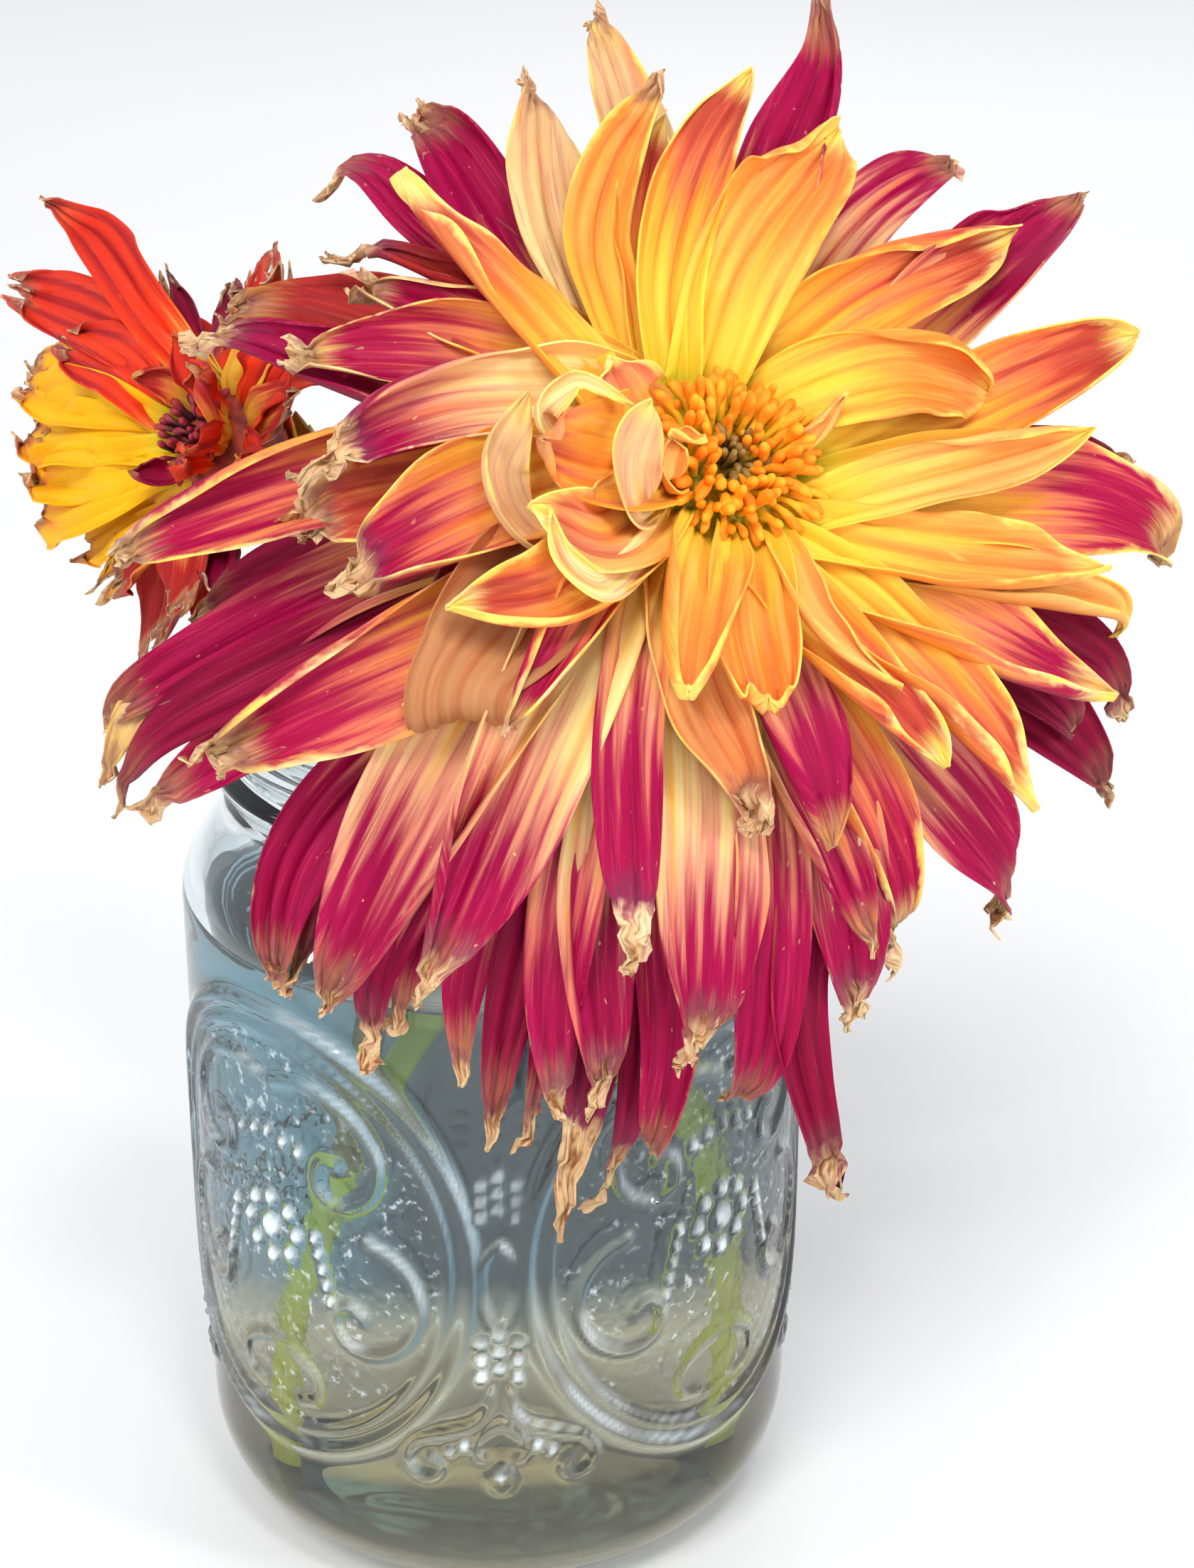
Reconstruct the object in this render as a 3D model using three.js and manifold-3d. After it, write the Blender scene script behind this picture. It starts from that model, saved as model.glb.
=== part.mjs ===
// Two cut dahlias standing in water in a small preserving jar.
// Millimetres, +Z up, origin at the middle of the jar's flat base, -Y is the front.

import * as THREE from 'three';
import * as BufferGeometryUtils from 'three/addons/utils/BufferGeometryUtils.js';
import Module from 'manifold-3d';

const wasm = await Module();
wasm.setup();

const { cos, sin, PI, min, max, abs, pow } = Math;
const RAD = PI / 180;
const v3 = ( x, y, z ) => new THREE.Vector3( x, y, z );

// ---------------------------------------------------------------- jar
const JAR_RADIUS = 40.5;
const JAR_HEIGHT = 127;
const JAR_WALL = 3;
const JAR_FLOOR = 5;
const JAR_SIDES = 28;
const BASE_RADIUS = 23;             // flat ring and disc that the jar stands on
const HEEL_TOP = 19;                // where the rounded heel meets the wall
const SHOULDER_LOW = 92;
const SHOULDER_HIGH = 106;
const NECK_RADIUS = 34;
const LIP_RADIUS = 33.6;
const BEAD_PROUD = 1.7;             // the ring below the thread
const BEAD_LOW = 108.5;
const BEAD_HIGH = 112.5;
const THREAD_PROUD = 1.3;
const THREAD_HALF = 1.2;            // half the height of a thread's ridge
const THREAD_HEIGHTS = [ 116.2, 120.6 ];
const WATER_LEVEL = 91;

// ---------------------------------------------------------------- blooms
const GAP = 0.3;                    // between pieces that touch
const BLADE = 0.7;                  // thickness of a petal
const SLIVER = 0.1;                 // edges shorter than this are merged away

// The eye that the blooms are set out from: petal points are given as they are
// seen from it, on an upright plane through the middle of the front disc.
const EYE = v3( 0, -374, 276 );
const EYE_YAW = 2.1 * RAD;
const EYE_DIP = 24.6 * RAD;
const DISC = v3( 28, -30, 159 );

const RIGHT = v3( cos( EYE_YAW ), - sin( EYE_YAW ), 0 );
const UP = v3( sin( EYE_YAW ) * sin( EYE_DIP ), cos( EYE_YAW ) * sin( EYE_DIP ), cos( EYE_DIP ) );
const TOWARD = RIGHT.clone().cross( UP );

/** A direction given by its parts to the right, up and toward the eye. */
function facing( right, up, toward ) {

	return RIGHT.clone().multiplyScalar( right )
		.addScaledVector( UP, up ).addScaledVector( TOWARD, toward ).normalize();

}

/** The sight line through a point of the plane of the front disc. */
function sightLine( x, y ) {

	return DISC.clone().addScaledVector( RIGHT, x ).addScaledVector( UP, y ).sub( EYE );

}

/** A point seen at x, y that lies at a given distance in front of the jar's axis. */
function hang( x, y, front ) {

	const line = sightLine( x, y );
	return EYE.clone().addScaledVector( line, ( - front - EYE.y ) / line.y );

}

/** A flower head: its middle, its axis and the ring that its petals grow from. */
class Head {

	constructor( centre, axis, size ) {

		this.centre = centre;
		this.axis = axis;
		this.size = size;
		this.across = RIGHT.clone().addScaledVector( axis, - RIGHT.dot( axis ) ).normalize();
		this.along = axis.clone().cross( this.across );

	}

	/** The direction from the axis at a clock angle, counted from the right. */
	spoke( angle ) {

		return this.across.clone().multiplyScalar( cos( angle * RAD ) )
			.addScaledVector( this.along, sin( angle * RAD ) );

	}

	/** A point by clock angle, radius and height over the plane of the disc. */
	at( angle, radius, height ) {

		return this.centre.clone().addScaledVector( this.spoke( angle ), radius )
			.addScaledVector( this.axis, height );

	}

	/** A point seen at x, y that lies at a height over the plane of the disc. */
	on( x, y, height ) {

		const line = sightLine( x, y );
		const eyeHeight = EYE.clone().sub( this.centre ).dot( this.axis );
		return EYE.clone().addScaledVector( line, ( height - eyeHeight ) / line.dot( this.axis ) );

	}

}

// Petal rows on a head: radius and height of the root, from the disc outward.
const ROWS = [
	{ radius: 9.6, height: -3.0 },
	{ radius: 10.6, height: -6.2 },
	{ radius: 11.0, height: -9.6 },
	{ radius: 10.4, height: -13.0 },
	{ radius: 9.0, height: -16.4 },
	{ radius: 7.6, height: -18.4 },
];
const ROOT_SUNK = 1.8;              // how far a root reaches into the core, inward and down
const CORE_TOP = -1.6;
const CORE_FOOT = -21;
const CORE_SIDES = 16;
const CORE = [                      // radius and height of the dense middle, foot first
	[ 0, CORE_FOOT ], [ 7.4, CORE_FOOT ], [ 10.4, -15 ], [ 11.8, -10 ],
	[ 11.4, -6 ], [ 9.2, CORE_TOP ], [ 0, CORE_TOP ],
];

// The shape of a petal; longer and wider ones are split more finely.
const LONG_PETAL = 42;
const SHORT_PETAL = 24;
const NARROW_PETAL = 8;
const CLAW = 0.42;                  // share of the greatest width at the root
const WIDEST = 0.58;                // where along the petal it is widest
const POINTED_END = 0.12;           // share of the width that is left at a pointed tip
const BLUNT_END = 0.6;
const CUP = 0.35;                   // how far every petal's margins turn up, in radians
const TOOTH_DEPTH = 0.2;            // how far the notches between teeth reach in, as a share
const SPOKE_SHARE = 0.35;           // how much a petal's flat follows its clock angle
const FLAT = [ 0, 0 ];              // margins that don't roll in

const front = new Head( DISC, facing( 0.27, 0.385, 0.88 ), 1 );
const REAR_DEPTH = 50;              // how far the rear head's middle lies behind the disc
const rearLine = sightLine( -61, 3 );
const rearMiddle = EYE.clone().addScaledVector( rearLine, 1 + REAR_DEPTH / - rearLine.dot( TOWARD ) );
const rear = new Head( rearMiddle, facing( -0.6, 0.25, 0.76 ), 0.78 );
const on = ( x, y, h ) => front.on( x, y, h );
const back = ( x, y, h ) => rear.on( x, y, h );

/**
 * One petal: the clock angle and the row of its root, its greatest width, the points
 * that its midrib passes with the tip last, how far its clockwise and its
 * counter-clockwise margin roll in (radians), the teeth and the shape of its end.
 */
function petal( from, row, wide, points, roll = FLAT, { teeth = 0, blunt = false } = {} ) {

	return { from, row, wide, points, roll, teeth, blunt };

}

// Petals of the front dahlia.
const FRONT_PETALS = [
	// upper right, the large open petals beside the disc
	petal( 75, 1, 12.5, [ on( 1, 22, 1 ), on( 12.5, 38, -6 ) ], [ 0, 0.8 ] ),
	petal( 92, 1, 8.5, [ on( -7.5, 20, 1 ), on( -3.5, 35, -2 ), on( 2.5, 45, -5 ) ] ),
	petal( 50, 2, 11, [ on( 15, 19, -4 ), on( 32, 26, -9 ) ], [ 0, 1.2 ] ),
	petal( 28, 1, 11.5, [ on( 19, 10.5, 0 ), on( 31, 8, -5 ) ], [ 0, 1.2 ] ),
	petal( 12, 2, 11.5, [ on( 29, 6.5, -6 ), on( 46.8, 14.5, -13 ) ], [ 0.5, 0.4 ] ),
	petal( -3, 1, 8, [ on( 24, -1.5, -1 ), on( 41, 3.3, -7 ) ], [ 0.2, 1.2 ] ),
	petal( -8, 2, 13, [ on( 27, -4.5, -7 ), on( 43, -5, -13 ), on( 53, -10.5, -19 ) ] ),
	petal( -18, 1, 9.5, [ on( 24, -12, -3 ), on( 42.3, -13.2, -9 ) ], [ 0.9, 0 ] ),
	petal( -22, 2, 9, [ on( 33, -14.5, -10 ), on( 49, -18, -17 ) ], [ 0.8, 0.4 ] ),
	petal( 38, 3, 11.5, [ on( 28, 20, -9 ), on( 41, 31, -14 ) ], [ 0.4, 0.4 ] ),
	petal( 57, 4, 8, [ on( 15, 28, -13 ), on( 26.7, 35, -18 ) ] ),
	petal( 76, 3, 10, [ on( 5, 30, -8 ), on( 10.8, 46, -10 ), on( 9, 51.5, -11 ) ], [ 0.8, 0 ] ),
	petal( 5, 4, 8, [ on( 33, 0, -19 ), on( 44.8, -0.8, -26 ) ] ),

	// top left, seen from behind and partly dried
	petal( 100, 2, 7.5, [ on( -10, 25, -4 ), on( -8.3, 39, -8 ) ] ),
	petal( 112, 2, 6.5, [ on( -15.5, 24, -3 ), on( -12.5, 36, -5 ), on( -7.5, 41.5, -7 ) ] ),
	petal( 106, 4, 8, [ on( -11.5, 39, -12 ), on( -15.8, 52.3, -14 ) ] ),
	petal( 122, 3, 9, [ on( -20.5, 28, -6 ), on( -22.3, 45, -9 ) ] ),
	petal( 135, 4, 12, [ on( -26, 27, -10 ), on( -36, 41, -13 ) ], [ 0.9, 0 ] ),
	petal( 140, 1, 8.5, [ on( -20, 12, 1 ), on( -28, 21, -1 ), on( -38.5, 31.5, -5 ) ], [ 0, 1.1 ] ),
	petal( 152, 2, 9, [ on( -28, 15, -6 ), on( -43, 20.5, -9 ) ], [ 0.7, 0.3 ] ),
	petal( 148, 3, 7.5, [ on( -34, 22, -9 ), on( -46, 26, -12 ) ], [ 1.1, 0.8 ] ),
	petal( 142, 4, 8, [ on( -34, 27, -14 ), on( -43, 34, -16 ), on( -48, 32, -19 ) ] ),

	// left
	petal( 165, 2, 11, [ on( -33, 12, -5 ), on( -50.5, 12.3, -9 ) ], [ 0.4, 0.4 ] ),
	petal( 168, 3, 8.5, [ on( -42, 9, -12 ), on( -62.5, 16.5, -18 ) ], [ 0.6, 0.4 ] ),
	petal( 158, 4, 10.5, [ on( -41, 14.5, -19 ), on( -57.5, 18.5, -24 ) ] ),
	petal( 173, 1, 10.5, [ on( -30, 5, -1 ), on( -49, -3, -7 ) ], [ 1.1, 0.3 ] ),
	petal( 180, 2, 12, [ on( -32, -3, -7 ), on( -50, -7, -13 ) ] ),
	petal( -176, 3, 11.5, [ on( -45, -1.5, -14 ), on( -73, -10.5, -27 ) ], [ 1, 0 ] ),
	petal( -168, 1, 13, [ on( -31, -7, -2 ), on( -46, -15, -9 ) ], [ 0.3, 0.4 ] ),
	petal( -160, 2, 7, [ on( -26, -10, -5 ), on( -35, -18, -10 ) ] ),
	petal( -148, 3, 13.5, [ on( -41, -24.5, -12 ), on( -60.5, -34, -24 ) ], [ 0.8, 0 ] ),
	petal( -165, 5, 11, [ on( -40, -10, -27 ), on( -62, -18, -40 ) ] ),
	petal( -160, 4, 8, [ on( -46, -15, -25 ), on( -74.5, -30, -42 ) ] ),
	petal( -157, 5, 7, [ on( -48, -19, -29 ), on( -66, -27, -40 ), on( -73, -36, -46 ) ] ),
	petal( -153, 4, 7, [ on( -48, -22, -26 ), on( -66, -32, -39 ), on( -72.5, -39, -44 ) ] ),
	petal( -148, 5, 7.5, [ on( -46, -26, -29 ), on( -68, -40.5, -44 ) ] ),

	// lower right
	petal( -32, 2, 13.5, [ on( 26, -20, -7 ), on( 42.8, -28, -14 ) ], [ 0.9, 0 ] ),
	petal( -25, 4, 8, [ on( 34, -18, -19 ), on( 43, -23.5, -24 ), on( 46.8, -29, -28 ) ] ),
	petal( -33, 3, 8, [ on( 33, -24, -16 ), on( 43, -32.5, -22 ) ] ),
	petal( -36, 5, 9, [ on( 34, -28, -24 ), on( 44.5, -38, -32 ) ] ),
	petal( -42, 1, 10.5, [ on( 20, -23, -4 ), on( 35.3, -39.8, -12 ) ], [ 0.9, 0 ] ),
	petal( -54, 1, 9, [ on( 12.5, -23, -1 ), on( 24.5, -35, -6 ) ], [ 1, 0.2 ] ),
	petal( -50, 0, 5, [ on( 9.5, -18, 3 ), on( 19, -26, 0 ) ], [ 1, 1 ] ),
	petal( -50, 4, 12, [ on( 24, -38, -22 ), on( 34.5, -52, -34 ) ] ),
	petal( -62, 3, 9, [ on( 14, -37, -13 ), on( 21, -55.5, -26 ) ], [ 0.8, 0 ] ),
	petal( -58, 5, 6, [ on( 15, -42, -24 ), on( 19.5, -58.5, -35 ) ] ),
	petal( -72, 2, 10.5, [ on( 6, -28, -6 ), on( 11, -44.5, -13 ) ], [ 0.9, 0 ] ),
	petal( -70, 3, 8, [ on( 9, -40, -14 ), on( 16, -56.5, -21 ) ], [ 0.7, 0 ] ),

	// hanging in front of the glass
	petal( -95, 2, 11, [ on( -4, -27, -5 ), on( 3, -41, -9 ) ], [ 0.3, 0.6 ] ),
	petal( -108, 2, 6.5, [ on( -12, -31, -7 ), hang( -11.5, -46, 51 ), hang( -10.5, -59, 53 ) ] ),
	petal( -95, 3, 12, [ on( -3, -38, -12 ), hang( -3.5, -54, 52 ), hang( -4.5, -69, 54 ) ] ),
	petal( -85, 4, 8, [ on( 4, -42, -17 ), hang( 4, -62, 50 ), hang( 1.5, -77.5, 52 ) ] ),
	petal( -80, 5, 7, [ on( 8, -45, -21 ), hang( 7.5, -66, 48 ), hang( 12, -84, 49 ) ] ),
	petal( -74, 4, 9, [ on( 12, -44, -19 ), hang( 15, -65.5, 47 ) ] ),
	petal( -112, 3, 8, [ on( -14, -36, -12 ), hang( -15.5, -55, 51 ), hang( -14, -75.5, 53 ) ] ),
	petal( -110, 4, 6, [ on( -13, -42, -18 ), hang( -16, -70, 49 ), hang( -20, -88, 53 ) ] ),
	petal( -100, 4, 6.5, [ on( -8, -45, -19 ), hang( -7, -66, 48 ), hang( -10, -84.5, 50 ) ] ),
	petal( -122, 4, 6.5, [ on( -20, -42, -20 ), hang( -25, -62, 48 ), hang( -28.5, -77, 50 ) ] ),
	petal( -117, 3, 7, [ on( -17, -40, -15 ), hang( -20, -60, 51 ), hang( -20, -77, 53 ) ] ),
	petal( -128, 4, 6, [ on( -24, -40, -20 ), hang( -30, -58, 46 ), hang( -30.5, -71.5, 47 ) ] ),
	petal( -125, 2, 13, [ on( -22, -29, -8 ), hang( -30, -48, 52 ), hang( -35.5, -61, 54 ) ], [ 0.8, 0 ] ),
	petal( -134, 5, 6, [ on( -30, -38, -22 ), hang( -40, -57, 45 ), hang( -42, -70.5, 46 ) ] ),
	petal( -133, 3, 13.5, [ on( -28, -28, -12 ), hang( -39, -48, 49 ), hang( -47, -64.5, 51 ) ], [ 0, 0.8 ] ),
	petal( -142, 4, 8, [ on( -32, -27, -17 ), hang( -49, -45, 43 ), hang( -53.5, -62.5, 45 ) ] ),
	petal( -139, 5, 9, [ on( -32, -31, -22 ), hang( -46, -46, 39 ), hang( -50, -60, 41 ) ] ),

	// lower left of the disc, standing and curling over
	petal( -75, 0, 10, [ on( 2, -19, 1 ), on( 4, -28, -2 ), on( 4, -30.5, 0 ) ] ),
	petal( -105, 0, 10.5, [ on( -4.5, -18, 4 ), on( -5.5, -29.5, 5 ) ], [ 1.1, 0.7 ] ),
	petal( -132, 1, 9, [ on( -21, -20, 0 ), on( -28.5, -31.5, -3 ) ], [ 0.9, 0.5 ] ),
	petal( -140, 2, 14, [ on( -24, -18, -5 ), on( -29, -25, -7 ), on( -28, -32, -9 ) ], FLAT, { blunt: true } ),
	petal( -147, 0, 10, [ on( -20, -15.5, 3 ), on( -32.5, -17, 1 ) ], [ 0, 0.8 ] ),
	petal( -155, 0, 6.5, [ on( -24, -8, 4 ), on( -27.5, 1, 7 ), on( -22.5, 7, 9 ) ] ),
	petal( 170, 0, 5, [ on( -20, 2, 7 ), on( -18.5, 7.8, 10 ), on( -11.5, 6.5, 12 ) ] ),
	petal( -128, 0, 5.5, [ on( -12.5, -8, 7 ), on( -13.5, 0, 11 ), on( -9, 7, 12 ) ] ),
	petal( -165, 0, 10, [ on( -15, -3, 4 ), on( -22, 2.5, 8 ) ] ),
	petal( -148, 0, 9, [ on( -15, -8, 7 ), on( -22, -5.5, 9 ) ] ),
	petal( -137, 0, 7, [ on( -12, -11.5, 6 ), on( -18, -11.5, 8 ) ] ),
	petal( 150, 0, 6, [ on( -11.5, 7, 2 ), on( -15, 11.3, 3 ) ] ),
];

// Back petals of the front dahlia, turned away from the eye: clock angle, length.
const BACK_PETAL_RISE = -23;
const BACK_PETAL_WIDE = 10;
const FRONT_BACK_PETALS = [
	[ 20, 38 ], [ 47, 40 ], [ 68, 43 ], [ 92, 44 ], [ 116, 42 ], [ 134, 38 ], [ -15, 36 ], [ -45, 34 ],
];

// Petals of the rear dahlia that show beside the front one, most of them toothed.
const REAR_PETALS = [
	petal( 118, 1, 6.5, [ back( -66, 17, 3 ), back( -72.5, 26, 4 ), back( -76.5, 28, 3 ) ] ),
	petal( 134, 1, 8, [ back( -70, 15, 2 ), back( -82.5, 20, -1 ) ], FLAT, { teeth: 3 } ),
	petal( 150, 0, 8, [ back( -69, 10.5, 3 ), back( -77, 13.5, 1 ) ], FLAT, { teeth: 2 } ),
	petal( 160, 1, 7.5, [ back( -71, 8, -1 ), back( -81.5, 9.5, -4 ) ], FLAT, { teeth: 2 } ),
	petal( 174, 0, 7.5, [ back( -71, 4, 1 ), back( -81, 4.5, -4 ) ], FLAT, { teeth: 2 } ),
	petal( -172, 1, 8, [ back( -71, 0.5, -1 ), back( -80.5, 0, -4 ) ], FLAT, { teeth: 2 } ),
	petal( -158, 0, 8, [ back( -70, -3, 1 ), back( -80, -5, -4 ) ], FLAT, { teeth: 2 } ),
	petal( -145, 1, 8, [ back( -68, -5, -2 ), back( -75, -9.5, -7 ) ], FLAT, { teeth: 2 } ),
	petal( -130, 1, 8, [ back( -65, -8, -2 ), back( -70, -15, -8 ) ], FLAT, { teeth: 3 } ),
	petal( -115, 2, 7.5, [ back( -61, -10, -6 ), back( -65.5, -21, -13 ) ], FLAT, { teeth: 2 } ),
	petal( 104, 1, 5, [ back( -62, 14, -1 ), back( -65, 21.5, -4 ) ], FLAT, { teeth: 2 } ),
	petal( 90, 2, 5, [ back( -57, 14, -4 ), back( -57, 21, -9 ) ], FLAT, { teeth: 2 } ),
];

// The rest of the rear dahlia's petals: clock angle, row, length, rise of the tip.
const REAR_PETAL_WIDE = 7.5;
const REAR_ROUND_PETALS = [
	[ -98, 1, 24, 0 ], [ -80, 2, 20, 2 ], [ -62, 1, 17, 5 ], [ -40, 1, 15, 8 ], [ -10, 1, 15, 8 ],
	[ 20, 1, 18, 8 ], [ 45, 1, 22, 4 ], [ 68, 2, 27, -4 ],
	[ 170, 3, 34, -14 ], [ -165, 3, 34, -14 ], [ -140, 3, 33, -15 ], [ 145, 3, 35, -14 ],
	[ 120, 3, 35, -14 ], [ 95, 3, 32, -16 ], [ 55, 4, 27, -20 ], [ -112, 4, 28, -12 ],
];

// ---------------------------------------------------------------- solids

/** A closed geometry as a solid for joining and cutting. */
function solidOf( geometry ) {

	const bare = geometry.clone();
	bare.deleteAttribute( 'normal' );
	bare.deleteAttribute( 'uv' );
	const merged = BufferGeometryUtils.mergeVertices( bare, 1e-4 );
	const mesh = new wasm.Mesh( {
		numProp: 3,
		vertProperties: new Float32Array( merged.attributes.position.array ),
		triVerts: new Uint32Array( merged.index.array ),
	} );
	return new wasm.Manifold( mesh );

}

/** Joins solids into one body, without sealed hollows and loose scraps. */
function joined( solids ) {

	const whole = wasm.Manifold.union( solids ).simplify( SLIVER );
	const bodies = whole.decompose().sort( ( a, b ) => b.volume() - a.volume() );
	return bodies[ 0 ];

}

/** A solid back as a geometry. */
function geometryOf( solid ) {

	const mesh = solid.getMesh();
	const geometry = new THREE.BufferGeometry();
	geometry.setAttribute( 'position', new THREE.BufferAttribute( mesh.vertProperties, 3 ) );
	geometry.setIndex( new THREE.BufferAttribute( mesh.triVerts, 1 ) );
	return geometry;

}

/** A tube with flat ends along points. */
function tube( points, radius, sides, steps ) {

	const curve = new THREE.CatmullRomCurve3( points );
	const section = new THREE.Shape();
	for ( let i = 0; i < sides; i ++ ) {

		const angle = 2 * PI * i / sides;
		section[ i ? 'lineTo' : 'moveTo' ]( radius * cos( angle ), radius * sin( angle ) );

	}

	return new THREE.ExtrudeGeometry( section, { steps, extrudePath: curve, bevelEnabled: false } );

}

/** A body of revolution about a head's axis, from radius and height pairs. */
function turned( head, profile, sides ) {

	const points = profile.map( ( [ radius, height ] ) => new THREE.Vector2( radius, height ) );
	const geometry = new THREE.LatheGeometry( points, sides );
	const frame = new THREE.Matrix4().makeBasis( head.along, head.axis, head.across );
	geometry.applyMatrix4( frame.setPosition( head.centre ) );
	return geometry;

}

/** The midrib's curve: smooth through all its points. */
function midrib( head, petal ) {

	const row = ROWS[ petal.row ];
	const radius = row.radius * head.size - ROOT_SUNK;
	const root = head.at( petal.from, radius, row.height * head.size - ROOT_SUNK );
	return new THREE.CatmullRomCurve3( [ root, ...petal.points ], false, 'centripetal' );

}

/** A petal's width along its length: a narrow claw, a broad middle, a point. */
function widthAt( petal, t ) {

	if ( t < WIDEST ) return petal.wide * ( CLAW + ( 1 - CLAW ) * sin( 0.5 * PI * t / WIDEST ) );
	const past = ( t - WIDEST ) / ( 1 - WIDEST );
	const least = petal.blunt ? BLUNT_END : POINTED_END;
	return petal.wide * max( least, pow( 1 - pow( past, 2.3 ), 0.85 ) );

}

/** How many steps a petal's blade is split into lengthwise. */
function stepsOf( petal, length ) {

	if ( petal.points.length > 2 && length > LONG_PETAL ) return 5;
	return length > SHORT_PETAL && petal.row < 4 && ! petal.teeth ? 4 : 3;

}

/** How many columns a petal's blade is split into across. */
function columnsOf( petal ) {

	if ( petal.teeth ) return 2 * petal.teeth;
	return petal.wide > NARROW_PETAL ? 2 : 1;

}

/** One petal as a thin cupped blade with rolled margins. */
function petalSolid( head, petal ) {

	const rib = midrib( head, petal );
	const steps = stepsOf( petal, rib.getLength() );
	const columns = columnsOf( petal );
	const spread = rib.getPoint( 1 ).sub( rib.getPoint( 0 ) );
	spread.addScaledVector( head.axis, - spread.dot( head.axis ) ).normalize();
	spread.addScaledVector( head.spoke( petal.from ), SPOKE_SHARE );
	const side = head.axis.clone().cross( spread );
	const rows = [];

	for ( let i = 0; i <= steps; i ++ ) {

		const t = i / steps;
		const row = [];
		for ( let j = 0; j <= columns; j ++ ) {

			const across = 2 * j / columns - 1;
			const notch = petal.teeth && j % 2 === 0 ? TOOTH_DEPTH * t : 0;
			const reach = t * ( 1 - notch );
			const point = rib.getPointAt( reach );
			const tangent = rib.getTangentAt( reach );
			const lateral = side.clone().addScaledVector( tangent, - side.dot( tangent ) ).normalize();
			const face = tangent.clone().cross( lateral ).normalize();
			const half = 0.5 * widthAt( petal, petal.teeth ? 0.9 * t : t );
			const roll = petal.roll[ across < 0 ? 0 : 1 ];
			const bend = ( CUP + 0.5 * roll * t ) * abs( across );
			point.addScaledVector( lateral, half * across * cos( bend ) );
			point.addScaledVector( face, half * abs( across ) * sin( bend ) );
			row.push( { point, face } );

		}

		rows.push( row );

	}

	return solidOf( bladeGeometry( rows ) );

}

/** A thin closed blade round a grid of points, split alike on both faces. */
function bladeGeometry( rows ) {

	const last = rows.length - 1;
	const wide = rows[ 0 ].length;
	const positions = [];
	const index = [];

	for ( const side of [ 1, -1 ] ) {

		rows.forEach( ( row, i ) => row.forEach( ( { face }, j ) => {

			const before = rows[ max( i - 1, 0 ) ][ j ].point;
			const after = rows[ min( i + 1, last ) ][ j ].point;
			const left = row[ max( j - 1, 0 ) ].point;
			const right = row[ min( j + 1, wide - 1 ) ].point;
			const alongIt = after.clone().sub( before );
			const acrossIt = right.clone().sub( left );
			const normal = alongIt.cross( acrossIt ).normalize();
			if ( normal.dot( face ) < 0 ) normal.negate();
			const place = row[ j ].point.clone().addScaledVector( normal, side * BLADE / 2 );
			positions.push( place.x, place.y, place.z );

		} ) );

	}

	const top = ( i, j ) => i * wide + j;
	const low = ( i, j ) => rows.length * wide + top( i, j );
	const quad = ( a, b, c, d ) => index.push( a, b, c, a, c, d );

	for ( let i = 0; i < last; i ++ ) {

		for ( let j = 0; j < wide - 1; j ++ ) {

			quad( top( i, j ), top( i + 1, j ), top( i + 1, j + 1 ), top( i, j + 1 ) );
			index.push( low( i, j ), low( i + 1, j + 1 ), low( i + 1, j ) );
			index.push( low( i, j ), low( i, j + 1 ), low( i + 1, j + 1 ) );

		}

		quad( top( i, 0 ), low( i, 0 ), low( i + 1, 0 ), top( i + 1, 0 ) );
		quad( top( i + 1, wide - 1 ), low( i + 1, wide - 1 ), low( i, wide - 1 ), top( i, wide - 1 ) );

	}

	for ( let j = 0; j < wide - 1; j ++ ) {

		quad( top( 0, j ), top( 0, j + 1 ), low( 0, j + 1 ), low( 0, j ) );
		quad( top( last, j + 1 ), top( last, j ), low( last, j ), low( last, j + 1 ) );

	}

	const geometry = new THREE.BufferGeometry();
	geometry.setAttribute( 'position', new THREE.Float32BufferAttribute( positions, 3 ) );
	geometry.setIndex( index );
	return geometry;

}

/** The dense middle of a head that its petals stand out of. */
function coreSolid( head ) {

	const profile = CORE.map( ( [ radius, height ] ) => [ radius * head.size, height * head.size ] );
	return solidOf( turned( head, profile, CORE_SIDES ) );

}

/** A petal that a rule places round its head, bending away from the front. */
function roundPetal( head, angle, row, length, rise, wide, teeth ) {

	const middle = 0.4 * rise + 0.5 * ROWS[ row ].height * head.size;
	const points = [ head.at( angle, 0.55 * length, middle ), head.at( angle + 4, length, rise ) ];
	return petal( angle, row, wide, points, FLAT, { teeth } );

}

/** All petals of the front dahlia with the core that they grow from. */
function frontPetals() {

	const hidden = FRONT_BACK_PETALS.map( ( [ angle, length ] ) =>
		roundPetal( front, angle, 5, length, BACK_PETAL_RISE, BACK_PETAL_WIDE, 0 ) );
	const petals = [ ...FRONT_PETALS, ...hidden ];
	return joined( [ coreSolid( front ), ...petals.map( each => petalSolid( front, each ) ) ] );

}

/** All petals of the rear dahlia with the core that they grow from. */
function rearPetals() {

	const round = REAR_ROUND_PETALS.map( ( [ angle, row, length, rise ] ) =>
		roundPetal( rear, angle, row, length, rise, REAR_PETAL_WIDE, row > 2 ? 1 : 2 ) );
	const petals = [ ...REAR_PETALS, ...round ];
	return joined( [ coreSolid( rear ), ...petals.map( each => petalSolid( rear, each ) ) ] );

}

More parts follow.
